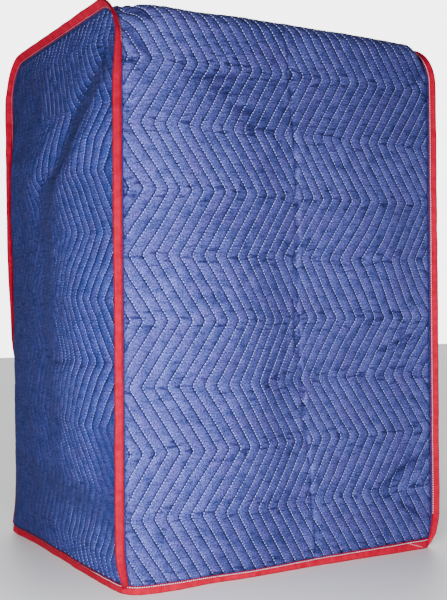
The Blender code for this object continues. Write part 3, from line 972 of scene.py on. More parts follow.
def quilted_sheet(name, panel, rows, finish):
    """A closed sheet of quilted cloth between its limits across, which may change along it.

    Points stand over the surface by the crown's height times the fullness.
    """
    quilt = bpy.context.scene.cover_quilting
    low, high = panel.limits(rows)
    column, share = sheet_columns(np.max(high) - np.min(low), panel.first_line)
    along = np.broadcast_to(rows[:, None], (len(rows), len(column)))
    across = quilt_place(column[None, :], along, panel.turn, panel.slant)
    across = np.clip(across, low[:, None], high[:, None])
    near, above_hem = panel.inside(across, along)
    full = panel.fullness(across, along)
    height = crown(share[None, :], near, above_hem) * loft(across, along) * taut(along) * full
    lift = THIN / 2 + quilt.puff * height
    outer, normal = face_points(panel.surface, panel.outwards, across, along, lift)
    inner = outer - normal * (THIN + (quilt.puff + quilt.lining_puff) * height)[..., None]
    uv = np.stack([across + panel.origin, along], axis=-1)
    shade = sheet_shade(panel, share, across, along, near, above_hem, full)
    return closed_sheet(name, outer, inner, uv, shade, finish)


class Finish:
    """A new material and its shader, with short calls that add nodes and give what comes out of them."""

    def __init__(self, name, colour, roughness):
        """Starts from one colour and one roughness."""
        self.material = bpy.data.materials.new(name)
        self.material.use_nodes = True
        self.material.diffuse_color = (*colour, 1.0)
        self.tree = self.material.node_tree
        self.shader = self.tree.nodes["Principled BSDF"]
        self.fill(self.shader, {"Base Color": (*colour, 1.0), "Roughness": roughness})

    def fill(self, node, inputs):
        """Links each of a node's inputs from another's output, or sets it to a value."""
        for key, value in inputs.items():
            if isinstance(value, bpy.types.NodeSocket):
                self.tree.links.new(value, node.inputs[key])
            else:
                node.inputs[key].default_value = value

    def add(self, kind, output, inputs, **settings):
        """One output of a new node with these settings and inputs."""
        node = self.tree.nodes.new(kind)
        for key, value in settings.items():
            setattr(node, key, value)
        self.fill(node, inputs)
        return node.outputs[output]

    def place(self):
        """The place on the flat cloth, in metres across and along."""
        return self.add("ShaderNodeUVMap", "UV", {}, uv_map="cloth")

    def part(self, place, axis):
        """One part of a place: its X, Y or Z."""
        return self.add("ShaderNodeSeparateXYZ", axis, {"Vector": place})

    def stretched(self, place, scale):
        """A place scaled along each axis."""
        return self.add("ShaderNodeMapping", "Vector", {"Vector": place, "Scale": scale})

    def noise(self, place, scale, detail, roughness=0.5, distortion=0.0):
        """Noise of so many cells a metre, with finer noise of this detail in it."""
        values = {"Scale": scale, "Detail": detail, "Roughness": roughness, "Distortion": distortion}
        return self.add("ShaderNodeTexNoise", "Fac", {"Vector": place, **values})

    def maths(self, operation, *values):
        """The result of one piece of arithmetic."""
        return self.add("ShaderNodeMath", "Value", dict(enumerate(values)), operation=operation)

    def product(self, first, second):
        """One number times another."""
        return self.maths("MULTIPLY", first, second)

    def spread(self, source, low, high, floor, ceiling):
        """The source carried from the range low to high to the range floor to ceiling, and held there."""
        values = {"From Min": low, "From Max": high, "To Min": floor, "To Max": ceiling}
        return self.add("ShaderNodeMapRange", "Result", {"Value": source, **values})

    def band(self, source, low, start, stop, high):
        """A band of the source: 0 outside low and high, and 1 from start to stop."""
        return self.product(self.spread(source, low, start, 0, 1), self.spread(source, stop, high, 1, 0))

    def mix(self, factor, first, second):
        """Two colours mixed by a factor."""
        values = {"Factor": factor, "A": first, "B": second}
        return self.add("ShaderNodeMix", "Result", values, data_type="RGBA")

    def scaled(self, colour, factor):
        """A colour times a number."""
        values = {"Vector": colour, "Scale": factor}
        return self.add("ShaderNodeVectorMath", "Vector", values, operation="SCALE")

    def bump(self, height, strength, distance, **normal):
        """A bumped normal."""
        values = {"Height": height, "Strength": strength, "Distance": distance, **normal}
        return self.add("ShaderNodeBump", "Normal", values)

    def done(self, **values):
        """The finished material: the shader's inputs are linked or set, with a gap for each underscore."""
        self.fill(self.shader, {key.replace("_", " "): value for key, value in values.items()})
        return self.material


def with_fold_mark(cloth, place, shade):
    """A shade with the old fold's mark: a pale line of painted highlight with a dark line of painted shade at
    its left, broken up by noise.
    """
    across = cloth.maths("MULTIPLY_ADD", cloth.noise(place, 26.0, 3.0), 0.020, cloth.part(place, "X"))
    slope = (MARK_PLACES[0] - MARK_PLACES[-1]) / (MARK_HEIGHTS[-1] - MARK_HEIGHTS[0])
    aside = cloth.maths("MULTIPLY_ADD", cloth.part(place, "Y"), slope, across)
    middle = MARK_PLACES[0] + 0.010 + MARK_HEIGHTS[0] * slope
    below_top = cloth.spread(cloth.part(place, "Y"), 1.12, 1.20, 1.0, 0.0)
    gaps = cloth.spread(cloth.noise(place, 55.0, 2.0), 0.40, 0.56, 0.25, 1.0)
    broken = cloth.product(below_top, gaps)
    pale = cloth.band(aside, middle - 0.006, middle - 0.001, middle, middle + 0.005)
    dark = cloth.band(aside, middle - 0.0115, middle - 0.008, middle - 0.008, middle - 0.0045)
    # Painted highlight along the mark and painted shade beside it
    for line, strength in ((pale, 1.62), (dark, 0.45)):
        shade = cloth.product(shade, cloth.spread(cloth.product(line, broken), 0.0, 1.0, 1.0, strength))
    return shade


def quilted_cloth(name, light, deep, turn, marked):
    """Brushed blue cloth: mottled by noise, with painted shade in the grooves, creased and puckered with
    painted shade in both, and finely woven.
    """
    cloth = Finish(name, light, 0.9)
    place = cloth.place()
    mottle = cloth.spread(cloth.noise(place, 34.0, 6.0, 0.66), 0.30, 0.70, 0.0, 1.0)
    patches = cloth.spread(cloth.noise(place, 17.0, 4.0, 0.6), 0.48, 0.66, 0.0, 0.75)
    worn = [0.72 * part for part in (light[0], light[1] * 0.82, light[2] * 0.92)]
    blue = cloth.mix(patches, cloth.mix(mottle, (*deep, 1.0), (*light, 1.0)), (*worn, 1.0))
    # The points' painted shade, read from their attribute named crown
    painted_groove_shade = cloth.add("ShaderNodeAttribute", "Fac", {}, attribute_name="crown")
    fleck = cloth.spread(cloth.noise(place, 330.0, 3.0, 0.7), 0.40, 0.60, 0.46, 1.54)
    pucker = cloth.noise(cloth.stretched(place, (42.0, 120.0, 1.0)), 1.0, 1.0, distortion=0.3)
    lines = cloth.noise(cloth.stretched(place, (34.0, 125.0, 1.0)), 1.0, 0.0, distortion=0.4)
    wave = 2 * math.pi / ZIGZAG_RISE
    near_turn = cloth.maths("COSINE", cloth.maths("MULTIPLY_ADD", cloth.part(place, "Y"), wave, -wave * turn))
    more_at_turns = cloth.spread(near_turn, 0.0, 0.9, 0.40, 1.0)
    crease = cloth.product(cloth.spread(lines, 0.61, 0.71, 0.0, 1.0), more_at_turns)
    # Painted shade along the crease lines, weaker on the side cloths
    crease_shade = cloth.spread(crease, 0.0, 1.0, 1.0, 0.45 if marked else 0.75)
    # Painted shade in the puckers' hollows
    painted_hollow_shade = cloth.spread(pucker, 0.32, 0.62, 0.90, 1.06)
    shade = cloth.product(cloth.product(painted_groove_shade, fleck), cloth.product(crease_shade, painted_hollow_shade))
    if marked:
        shade = with_fold_mark(cloth, place, shade)
    # Painted shade turns a deeper blue as it darkens
    in_shade = (0.55, 0.66, 1.14, 1.0) if marked else (0.44, 0.66, 1.26, 1.0)
    rich = cloth.mix(shade, in_shade, (1.0, 1.0, 1.0, 1.0))
    tinted = cloth.add("ShaderNodeVectorMath", "Vector", {0: blue, 1: rich}, operation="MULTIPLY")
    crease_depth = cloth.spread(crease, 0.0, 1.0, 1.0, 0.55)
    height = cloth.product(cloth.spread(pucker, 0.0, 1.0, 0.2, 1.0), crease_depth)
    weave = cloth.noise(place, 900.0, 2.0)
    return cloth.done(
        Base_Color=cloth.scaled(tinted, shade),
        Normal=cloth.bump(weave, 0.5, 0.0006, Normal=cloth.bump(height, 1.0, 0.0045)),
        Sheen_Weight=0.02,
        Sheen_Roughness=0.5,
        Sheen_Tint=(0.72, 0.76, 1.0, 1.0),
        Specular_IOR_Level=0.12,
    )


def binding_tape(name, red, deep_red):
    """Red tape: a fine diagonal weave, darker and lighter stretches, painted shade beside its fold and edges,
    painted light towards the right and back.
    """
    tape = Finish(name, red, 0.75)
    place = tape.place()
    cloud = tape.spread(tape.noise(place, 60.0, 4.0), 0.30, 0.62, 0.0, 1.0)
    tint = tape.mix(cloud, (*deep_red, 1.0), (*red, 1.0))
    off_fold = tape.maths("ABSOLUTE", tape.maths("SUBTRACT", tape.part(place, "X"), TAPE_FLAT / 2))
    # Painted shade where the tape rounds over its fold and towards its edges
    painted_fold_shade = tape.spread(off_fold, 0.003, 0.009, 0.62, 1.0)
    painted_edge_shade = tape.spread(off_fold, 0.014, 0.021, 1.0, 0.55)
    # Painted light: the red is brighter towards the right and the back
    spot = tape.add("ShaderNodeTexCoord", "Object", {})
    slope = tape.add("ShaderNodeVectorMath", "Value", {0: spot, 1: TAPE_PAINTED_LIGHT_SLOPE}, operation="DOT_PRODUCT")
    shade = tape.product(tape.product(painted_fold_shade, painted_edge_shade), tape.maths("ADD", slope, TAPE_PAINTED_LIGHT_LEVEL))
    twill = tape.add(
        "ShaderNodeTexWave", "Fac", {"Vector": place, "Scale": 260.0, "Distortion": 1.5},
        wave_type="BANDS", bands_direction="DIAGONAL"
    )
    return tape.done(
        Base_Color=tape.scaled(tint, shade),
        Normal=tape.bump(twill, 0.35, 0.0004),
        Sheen_Weight=0.01,
        Specular_IOR_Level=0.06,
    )


def twisted_thread(name, colour):
    """Pale thread with a slight twist."""
    thread = Finish(name, colour, 0.6)
    twist = thread.noise(thread.add("ShaderNodeTexCoord", "Object", {}), 260.0, 1.0)
    dark = [0.72 * part for part in colour]
    return thread.done(Base_Color=thread.mix(twist, (*dark, 1.0), (*colour, 1.0)), Specular_IOR_Level=0.3)


def once(make, name, *values):
    """The material of this name, made the first time that it is asked for."""
    return bpy.data.materials.get(name) or make(name, *values)


def shaded_side_finish():
    """The side cloths' material: the same cloth with painted shade, darker and a deeper blue."""
    quilt = bpy.context.scene.cover_quilting
    return once(quilted_cloth, "side_quilting", quilt.shaded_side_light_blue, quilt.shaded_side_deep_blue, SIDE_TURN, False)


def tape_finish():
    """The tapes' material."""
    binding = bpy.context.scene.cover_binding
    return once(binding_tape, "red_tape", binding.red, binding.deep_red)


def require_within(item, node):
    """Stops the script where a piece leaves its CAD node's box by more than cloth may."""
    low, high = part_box(node)
    points = np.empty(len(item.data.vertices) * 3)
    item.data.vertices.foreach_get("co", points)
    points = points.reshape(-1, 3)
    low = np.subtract(low, SLACK)
    high = np.add(high, SLACK)
    if np.any(points.min(axis=0) < low) or np.any(points.max(axis=0) > high):
        raise RuntimeError(f"{item.name} leaves the box of {node}")


def dress(item, node):
    """Puts a piece in place of its CAD node, on the one body."""
    require_within(item, node)
    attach(item, ROOT)
    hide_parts(node)


def stitches(name, points, normals, width, finish):
    """Raised threads, each from four points in a row: a pointed end, two three-sided rings, a pointed end."""
    along = points[:, 3] - points[:, 0]
    along /= np.linalg.norm(along, axis=1, keepdims=True)
    sideways = np.cross(normals[:, 1], along)
    sideways /= np.linalg.norm(sideways, axis=1, keepdims=True)
    half = np.broadcast_to(width, len(points))[:, None] / 2
    rings = []
    for station in (1, 2):
        middle = points[:, station]
        up = normals[:, station]
        rings += [middle - half * sideways, middle + 0.75 * half * up, middle + half * sideways]
    corners = np.stack([points[:, 0], *rings, points[:, 3]], axis=1)
    pattern = [(0, 2, 1), (0, 3, 2), (0, 1, 3), (7, 4, 5), (7, 5, 6), (7, 6, 4)]
    for side in range(3):
        ahead = (side + 1) % 3
        pattern += [(1 + side, 1 + ahead, 4 + ahead), (1 + side, 4 + ahead, 4 + side)]
    faces = np.add.outer(8 * np.arange(len(corners)), pattern).reshape(-1, 3)
    return mesh_object(name, corners.reshape(-1, 3), faces, finish)


def quilting_lines(panel, start, stop, seed, stitch_share):
    """Four points a stitch on every zigzag line between two places along, and the normals there."""
    quilt = bpy.context.scene.cover_quilting
    first = math.floor(-ZIGZAG_SWAY / CHANNEL) - 1
    last = math.ceil(panel.width / CHANNEL) + 1
    fine = np.arange(start, stop, 0.001)
    lines = []
    for line in range(first, last):
        column = panel.first_line + line * CHANNEL
        path = quilt_place(column, fine, panel.turn, panel.slant)
        length = np.concatenate([[0], np.cumsum(np.hypot(np.diff(path), np.diff(fine)))])
        near = np.arange(0.002, length[-1] - quilt.stitch_pitch, quilt.stitch_pitch)
        far = near + quilt.stitch_pitch
        ends = (np.interp(place, length, fine) for place in (near, far))
        lines.append((np.full(len(near), column), *ends))
    column, begin, end = (np.concatenate(part) for part in zip(*lines))
    draw = np.random.default_rng(seed)
    gap = (1 - stitch_share) * (0.5 + 0.25 * draw.uniform(-1, 1, len(begin)))
    shares = np.stack([gap, gap + THREAD_RISE, 1 - gap - THREAD_RISE, 1 - gap], axis=1)
    along = begin[:, None] + (end - begin)[:, None] * shares
    across = quilt_place(column[:, None], along, panel.turn, panel.slant)
    low, high = panel.limits(along)
    keep = np.all((across > low + SEAM_MARGIN) & (across < high - SEAM_MARGIN), axis=1)
    keep &= np.all(panel.inside(across, along)[1] > 0.001, axis=1)
    across = across[keep]
    along = along[keep]
    sunk = 0.0007 * smooth_noise(across, along, 0.05, 64) - 0.0003
    arch = quilt.thread_width * np.array([-0.10, 0.42, 0.42, -0.10])
    raised = panel.lift(across, along) + sunk + THIN / 2 + arch
    return face_points(panel.surface, panel.outwards, across, along, raised)


def fold_section(width, half, thickness):
    """A folded tape's outer and inner lines, as pairs of distance from its edge and height off the middle.

    The outer line goes from a slightly rolled edge over a flat face to an elliptic bend, and back.
    """
    turned_edge = [0.0, 0.0012, 0.0024, 0.0034, 0.0046, 0.0070]
    bend = np.linspace(0, math.pi / 2, 6)
    reach = np.array([*turned_edge, 0.40 * width, 0.65 * width])
    height = np.array([0.78, 1.02, 0.96, 0.80, 0.94, 1.0, 0.99, 0.98])
    reach = np.concatenate([reach, width - half * 1.15 * (1 - np.sin(bend))])
    height = np.concatenate([height, 0.96 * np.cos(bend)])
    upper = np.stack([reach, half * height], axis=-1)
    lower = upper[-2::-1] * np.array([1.0, -1.0])
    outer = np.concatenate([upper, lower])
    tangent = np.gradient(outer, axis=0)
    tangent /= np.linalg.norm(tangent, axis=1, keepdims=True)
    inner = outer + thickness * np.stack([tangent[:, 1], -tangent[:, 0]], axis=-1)
    return outer, inner


def seam_tape_frame(side, along):
    """A seam's points, the way its tape stands out of it and the way across the tape."""
    point, normal = seam_path(side, along)
    lean = seam_lean(side, along)[:, None]
    outward = np.array([side, 0.0, 0.0])
    stand = np.cos(lean) * outward + np.sin(lean) * normal
    across = np.cos(lean) * normal - np.sin(lean) * outward
    return point, stand, across


def tape_scale(side, along):
    """A seam tape's width as a share: it wavers, narrows to the hem, and is pinched where it turns behind."""
    from_hem = from_hem_of(along)
    scale = 1 + 0.025 * line_noise(along, 0.035, 71 + side)
    if side == RIGHT:
        return scale * np.interp(from_hem, *TAIL_WIDTHS)
    turned = bell(from_hem, PINCH_HEIGHT, PINCH_REACH) * (along > STRIP_LENGTH / 2)
    return scale * (1 - 0.12 * bell(from_hem, SEAM_BOTTOM, 0.030)) * (1 - 0.80 * turned)


def seam_tape_place(side, along, section):
    """Carries points of a tape's section along a seam: the width wavers, and narrows towards the hem."""
    binding = bpy.context.scene.cover_binding
    point, stand, across = seam_tape_frame(side, along)
    reach = SEAM_TAPE_START + section[:, 0] * ((binding.seam_width - SEAM_TAPE_START) / binding.seam_width)
    reach = reach * tape_scale(side, along)[:, None]
    if side == RIGHT:
        reach = reach - TAIL_PULL * np.clip((TAIL_HEIGHT - from_hem_of(along)) / 0.010, 0, 1)[:, None]
    height = section[:, 1] * (1 + 0.05 * line_noise(along, 0.02, 74 + side))[:, None]
    return point[:, None] + reach[..., None] * stand[:, None] + height[..., None] * across[:, None]


def hem_path(level):
    """The panels' plan path at one level, all the way round, as evenly spaced points and their length."""
    across = np.linspace(0, WIDTH, 160)
    back = np.linspace(0, DEPTH, 140)
    front_line = strip_surface(across, np.full_like(across, level))
    rear_line = strip_surface(across, np.full_like(across, STRIP_LENGTH - level))[::-1]
    right_line = side_surface(RIGHT, back, np.full_like(back, level))
    left_line = side_surface(LEFT, back, np.full_like(back, level))[::-1]
    path = np.concatenate([front_line, right_line, rear_line, left_line])[:, :2]
    closed = np.concatenate([path, path[:1]])
    length = np.concatenate([[0], np.cumsum(np.linalg.norm(np.diff(closed, axis=0), axis=1))])
    even = np.linspace(0, length[-1], HEM_RINGS, endpoint=False)
    path = np.stack([np.interp(even, length, closed[:, axis]) for axis in (0, 1)], axis=-1)
    blur = np.array([1, 4, 6, 4, 1]) / 16
    path = sum(weight * np.roll(path, shift, axis=0) for shift, weight in zip(range(-2, 3), blur))
    return path, even


def hem_tape_place(section):
    """Carries points of a tape's section round the hem: edge at the top, fold at the bottom."""
    low_path, length = hem_path(HEM_BOTTOM)
    high_path = hem_path(HEM_TOP)[0]
    ahead = np.roll(low_path, -1, axis=0) - np.roll(low_path, 1, axis=0)
    ahead /= np.linalg.norm(ahead, axis=1, keepdims=True)
    outward = np.stack([ahead[:, 1], -ahead[:, 0]], axis=-1)
    waver = 0.0004 * line_noise(length, 0.03, 81)
    level = (HEM_TOP - section[:, 0]) + waver[:, None] * (section[:, 0] < 0.5 * HEM_TOP)
    share = np.clip((level - HEM_BOTTOM) / (HEM_TOP - HEM_BOTTOM), 0, 1)[..., None]
    plan = low_path[:, None] * (1 - share) + high_path[:, None] * share
    plan = plan + outward[:, None] * section[:, 1, None]
    # The tape's upper edge rises and falls on the front only
    to_front = np.clip((-0.25 - plan[..., 1]) / 0.07, 0, 1)
    rise = np.interp(plan[..., 0] + WIDTH / 2, HEM_PLACES, HEM_RISES) * to_front
    level = level + rise * share[..., 0] + corner_lift(plan[..., 0], plan[..., 1], level)
    return np.concatenate([plan, level[..., None]], axis=-1), length, outward


def seam_stitches(side, way):
    """Stitches along one face of a seam's tape: four points each, the normals there and the width."""
    binding = bpy.context.scene.cover_binding
    begin = np.arange(SEAM_BOTTOM + 0.004, STRIP_LENGTH - SEAM_BOTTOM - 0.004, TAPE_PITCH)
    begin = begin[begin > (FACE_HEIGHT if side == LEFT else RIGHT_STITCH_START)]
    spots = []
    for share, lift in TAPE_STITCH:
        section = np.array([[binding.stitch_inset, way * (0.74 * binding.half_thickness + lift)]])
        spots.append(seam_tape_place(side, begin + share * TAPE_PITCH, section)[:, 0])
    across = way * seam_tape_frame(side, begin)[2]
    width = RIGHT_STITCH_WIDTH if way > 0 and side == RIGHT else HIDDEN_STITCH_WIDTH
    return np.stack(spots, axis=1), np.repeat(across[:, None], 4, axis=1), width


def hem_stitch_lines(way):
    """The stitch line round one face of the hem tape, and a line LAP_DROP below it.

    Gives the places along them, their points and the way out of the tape.
    """
    inset = bpy.context.scene.cover_binding.stitch_inset
    height = way * 0.80 * HEM_HALF
    lines, length, outward = hem_tape_place(np.array([[inset, height], [inset + LAP_DROP, height]]))
    place = np.append(length, length[-1] + length[1])
    return place, np.concatenate([lines, lines[:1]]), np.concatenate([outward, outward[:1]]) * way


def hem_stitches(path, begin, step, slope):
    """Stitches along the hem tape from each place in begin, going down across it by slope."""
    place, lines, out = path
    spots = []
    for share, lift in TAPE_STITCH:
        here = begin + share * step
        down = (slope * (here - begin[0]) / LAP_DROP)[:, None]
        high, low = (
            np.stack([np.interp(here, place, lines[:, edge, axis]) for axis in range(3)], axis=-1)
            for edge in (0, 1)
        )
        away = np.stack([np.interp(here, place, out[:, axis]) for axis in range(2)] + [0 * here], axis=-1)
        spots.append(high * (1 - down) + low * down + lift * away)
    return np.stack(spots, axis=1), np.repeat(away[:, None], 4, axis=1)


class CoverOperator:
    """What all the operators share: an undo step in the object mode."""

    bl_options = {"REGISTER", "UNDO"}


class COVER_OT_body_cloth(CoverOperator, bpy.types.Operator):
    """Quilts the strip of cloth up the front, over the top and down the back"""

    bl_idname = "cover.body_cloth"
    bl_label = "Body cloth"

    def execute(self, context):
        quilt = context.scene.cover_quilting
        finish = quilted_cloth("body_quilting", quilt.light_blue, quilt.deep_blue, STRIP_TURN, True)
        item = quilted_sheet("body_cloth", strip_panel(), strip_rows(), finish)
        dress(item, "body_panel")
        return {"FINISHED"}


class COVER_OT_side_cloths(CoverOperator, bpy.types.Operator):
    """Quilts the two side panels with their rounded top corners"""

    bl_idname = "cover.side_cloths"
    bl_label = "Side cloths"

    def execute(self, context):
        for side, word in SIDES:
            item = quilted_sheet(f"side_cloth_{word}", side_panel(side), side_rows(), shaded_side_finish())
            dress(item, f"side_panel_{word}")
        return {"FINISHED"}


class COVER_OT_seam_tapes(CoverOperator, bpy.types.Operator):
    """Folds the tape over both side seams"""

    bl_idname = "cover.seam_tapes"
    bl_label = "Seam tapes"

    def execute(self, context):
        binding = context.scene.cover_binding
        outer, inner = fold_section(binding.seam_width, binding.half_thickness, binding.tape_thickness)
        for side, word in SIDES:
            lowest = SEAM_BOTTOM if side == LEFT else RIGHT_SEAM_BOTTOM
            along = np.linspace(lowest, STRIP_LENGTH - lowest, SEAM_RINGS)
            outside = seam_tape_place(side, along, outer)
            inside = seam_tape_place(side, along, inner)
            item = swept_fold(f"seam_tape_{word}", outside, inside, along, False, tape_finish())
            dress(item, f"seam_binding_{word}")
        return {"FINISHED"}


class COVER_OT_seam_allowances(CoverOperator, bpy.types.Operator):
    """Lays the two cloths' turned-out edges inside the seam tapes"""

    bl_idname = "cover.seam_allowances"
    bl_label = "Seam allowances"

    def execute(self, context):
        along = np.linspace(SEAM_BOTTOM + 0.001, STRIP_LENGTH - SEAM_BOTTOM - 0.001, ALLOWANCE_RINGS)
        half = np.array(ALLOWANCE)
        section = np.concatenate([half, half[::-1] * np.array([1.0, -1.0])])
        faces = ring_faces(len(along), len(section), False)
        for side, word in SIDES:
            point, stand, across = seam_tape_frame(side, along)
            reach = section[:, 0] * tape_scale(side, along)[:, None]
            ring = point[:, None] + reach[..., None] * stand[:, None] + section[:, 1:] * across[:, None]
            item = mesh_object(f"seam_allowance_{word}", ring.reshape(-1, 3), faces, shaded_side_finish())
            uv = np.stack(np.broadcast_arrays(section[:, 0] + 3.0, along[:, None]), axis=-1)
            add_uv(item, uv.reshape(-1, 2))
            add_shade(item, np.full(reach.size, ALLOWANCE_SHADE))
            merge_points(item, TAPE_MERGE)
            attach(item, ROOT)
        return {"FINISHED"}


class COVER_OT_hem_tape(CoverOperator, bpy.types.Operator):
    """Folds the tape over the hem all the way round"""

    bl_idname = "cover.hem_tape"
    bl_label = "Hem tape"

    def execute(self, context):
        binding = context.scene.cover_binding
        outer, inner = fold_section(HEM_TOP, HEM_HALF, binding.tape_thickness)
        outside, length = hem_tape_place(outer)[:2]
        inside = hem_tape_place(inner)[0]
        item = swept_fold("hem_tape", outside, inside, length, True, tape_finish())
        dress(item, "hem_binding")
        return {"FINISHED"}


class COVER_OT_quilting_threads(CoverOperator, bpy.types.Operator):
    """Sews the zigzag lines of thread through all the panels"""

    bl_idname = "cover.quilting_threads"
    bl_label = "Quilting threads"

    def execute(self, context):
        quilt = context.scene.cover_quilting
        body = strip_panel()
        runs = (
            ("quilting_front", HEM_TOP, TOP_EDGE, 101),
            ("quilting_top_and_back", TOP_EDGE, STRIP_LENGTH - HEM_TOP, 102),
        )
        for name, start, stop, seed in runs:
            points, normals = quilting_lines(body, start, stop, seed, quilt.stitch_share)
            width = quilt.thread_width * np.interp(points[:, 0, 0], (-WIDTH / 2, WIDTH / 2), (1.12, 0.90))
            finish = once(twisted_thread, "quilting_thread", quilt.thread)
            item = stitches(name, points, normals, width, finish)
            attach(item, ROOT)
        for side, word in SIDES:
            panel = side_panel(side)
            share = 0.84 * quilt.stitch_share
            points, normals = quilting_lines(panel, HEM_TOP, HEIGHT - 0.004, 103 + side, share)
            finish = once(twisted_thread, "side_thread", quilt.side_thread)
            item = stitches(f"quilting_{word}", points, normals, 0.95 * quilt.thread_width, finish)
            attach(item, ROOT)
        return {"FINISHED"}


class COVER_OT_tape_threads(CoverOperator, bpy.types.Operator):
    """Sews the line of thread along both edges of every tape"""

    bl_idname = "cover.tape_threads"
    bl_label = "Tape threads"

    def execute(self, context):
        runs = [seam_stitches(side, way) for side in (LEFT, RIGHT) for way in (1, -1)]
        for way in (1, -1):
            path = hem_stitch_lines(way)
            around = path[0][-1]
            begin = np.arange(HEM_STITCHES) * around / HEM_STITCHES
            spots, normals = hem_stitches(path, begin, around / HEM_STITCHES, 0.0)
            # Round the sides the thread hardly shows, except towards the front
            aside = np.abs(normals[:, 0, 0]) > 0.7
            towards_front = np.clip((-0.17 - spots[:, 0, 1]) / 0.05, 0, 1)
            width = np.where(aside, 0.0002 + 0.0013 * towards_front, HEM_STITCH_WIDTH)
            runs.append((spots, normals, width))
            if way > 0:
                begin = LAP_START + TAPE_PITCH * np.arange(LAP_STITCHES)
                runs.append((*hem_stitches(path, begin, TAPE_PITCH, LAP_SLOPE), LAP_WIDTH))
        points = np.concatenate([spots for spots, normals, width in runs])
        normals = np.concatenate([normals for spots, normals, width in runs])
        widths = np.concatenate([np.broadcast_to(width, len(spots)) for spots, normals, width in runs])
        finish = once(twisted_thread, "tape_thread", context.scene.cover_binding.thread)
        item = stitches("tape_threads", points, normals, widths, finish)
        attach(item, ROOT)
        return {"FINISHED"}


def pale_surroundings(studio):
    """A plain pale world, brighter towards one side behind the camera's view, as a lit wall would be."""
    world = bpy.data.worlds.new("pale_surroundings")
    world.use_nodes = True
    tree = world.node_tree
    sky = tree.nodes["Background"]
    sky.inputs["Color"].default_value = (1.0, 1.0, 1.0, 1.0)
    direction = tree.nodes.new("ShaderNodeTexCoord")
    towards = tree.nodes.new("ShaderNodeVectorMath")
    towards.operation = "DOT_PRODUCT"
    towards.inputs[1].default_value = WALL_DIRECTION
    shade = tree.nodes.new("ShaderNodeMapRange")
    shade.interpolation_type = "SMOOTHSTEP"
    values = {"From Min": 0.76, "From Max": 0.92, "To Min": studio.sky, "To Max": studio.backdrop}
    for key, value in values.items():
        shade.inputs[key].default_value = value
    tree.links.new(direction.outputs["Generated"], towards.inputs[0])
    tree.links.new(towards.outputs["Value"], shade.inputs["Value"])
    tree.links.new(shade.outputs["Result"], sky.inputs["Strength"])
    return world


def soft_light(name, place, size, power):
    """A square light that looks at the middle of the cover and isn't seen itself."""
    lamp = bpy.data.lights.new(name, "AREA")
    lamp.size = size
    lamp.energy = power
    item = bpy.data.objects.new(name, lamp)
    aim = Vector(LIGHT_TARGET) - Vector(place)
    item.matrix_world = Matrix.Translation(place) @ aim.to_track_quat("-Z", "Y").to_matrix().to_4x4()
    item.visible_camera = False
    return item


def photo_camera(lens):
    """A camera at the photograph's place, turned by its yaw, pitch and roll."""
    view = bpy.data.cameras.new("camera")
    view.lens = lens
    view.sensor_width = 36.0
    camera = bpy.data.objects.new("camera", view)
    yaw, pitch, roll = (math.radians(angle) for angle in CAMERA_ANGLES)
    forward = Vector((math.sin(yaw) * math.cos(pitch), math.cos(yaw) * math.cos(pitch), math.sin(pitch)))
    right = Vector((math.cos(yaw), -math.sin(yaw), 0.0))
    up = right.cross(forward)
    turned_right = math.cos(roll) * right + math.sin(roll) * up
    turned_up = math.cos(roll) * up - math.sin(roll) * right
    place = Matrix((turned_right, turned_up, -forward)).transposed().to_4x4()
    place.translation = CAMERA_PLACE
    camera.matrix_world = place
    return camera


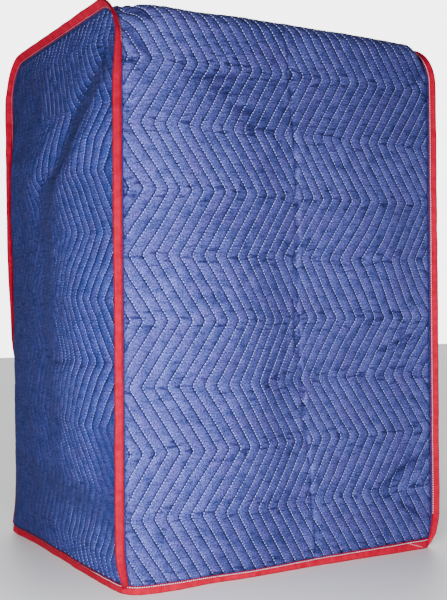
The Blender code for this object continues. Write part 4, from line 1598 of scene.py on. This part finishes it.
class COVER_OT_stage(CoverOperator, bpy.types.Operator):
    """Lays the pale floor, hangs the soft lights and sets the camera"""

    bl_idname = "cover.stage"
    bl_label = "Stage"

    def execute(self, context):
        studio = context.scene.cover_studio
        corners = FLOOR_REACH * np.array([(-1, -1, 0), (1, -1, 0), (1, 1, 0), (-1, 1, 0)], dtype=float)
        finish = Finish("pale_floor", studio.floor, 0.55).done(Specular_IOR_Level=0.6)
        floor = mesh_object("floor", corners, np.array([(0, 1, 2, 3)]), finish, smooth=False)
        context.scene.world = pale_surroundings(studio)
        for light in (
            soft_light("key_light", (-0.85, -1.40, 0.42), 0.35, studio.key_power),
            soft_light("fill_light", (2.6, -2.6, 1.6), 2.4, studio.fill_power),
            soft_light("top_light", (0.4, 0.6, 3.4), 3.0, studio.top_power),
        ):
            context.scene.collection.objects.link(light)
        camera = photo_camera(studio.lens)
        context.scene.collection.objects.link(camera)
        context.scene.camera = camera
        return {"FINISHED"}


OPERATORS = (
    COVER_OT_body_cloth,
    COVER_OT_side_cloths,
    COVER_OT_seam_tapes,
    COVER_OT_seam_allowances,
    COVER_OT_hem_tape,
    COVER_OT_quilting_threads,
    COVER_OT_tape_threads,
    COVER_OT_stage,
)


class COVER_PT_panel(bpy.types.Panel):
    """Lists the cover's pieces in the 3D view's sidebar"""

    bl_idname = "COVER_PT_panel"
    bl_label = "Quilted appliance cover"
    bl_space_type = "VIEW_3D"
    bl_region_type = "UI"
    bl_category = "Cover"

    def draw(self, context):
        for name, group in SETTINGS:
            box = self.layout.box()
            for setting in group.__annotations__:
                box.prop(getattr(context.scene, name), setting)
        for operator in OPERATORS:
            self.layout.operator(operator.bl_idname)


SETTINGS = (
    ("cover_quilting", CoverQuilting),
    ("cover_binding", CoverBinding),
    ("cover_studio", CoverStudio),
)


def register():
    """Adds the settings, the operators and the panel to Blender."""
    for name, group in SETTINGS:
        bpy.utils.register_class(group)
        setattr(bpy.types.Scene, name, PointerProperty(type=group))
    for kind in (*OPERATORS, COVER_PT_panel):
        bpy.utils.register_class(kind)


def unregister():
    """Takes the panel, the operators and the settings out again."""
    for kind in (COVER_PT_panel, *reversed(OPERATORS)):
        bpy.utils.unregister_class(kind)
    for name, group in reversed(SETTINGS):
        delattr(bpy.types.Scene, name)
        bpy.utils.unregister_class(group)


def main():
    """Makes the stage and all the pieces in order."""
    register()
    bpy.ops.cover.stage()
    bpy.ops.cover.body_cloth()
    bpy.ops.cover.side_cloths()
    bpy.ops.cover.seam_tapes()
    bpy.ops.cover.seam_allowances()
    bpy.ops.cover.hem_tape()
    bpy.ops.cover.quilting_threads()
    bpy.ops.cover.tape_threads()
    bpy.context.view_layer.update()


if __name__ == "__main__":
    main()
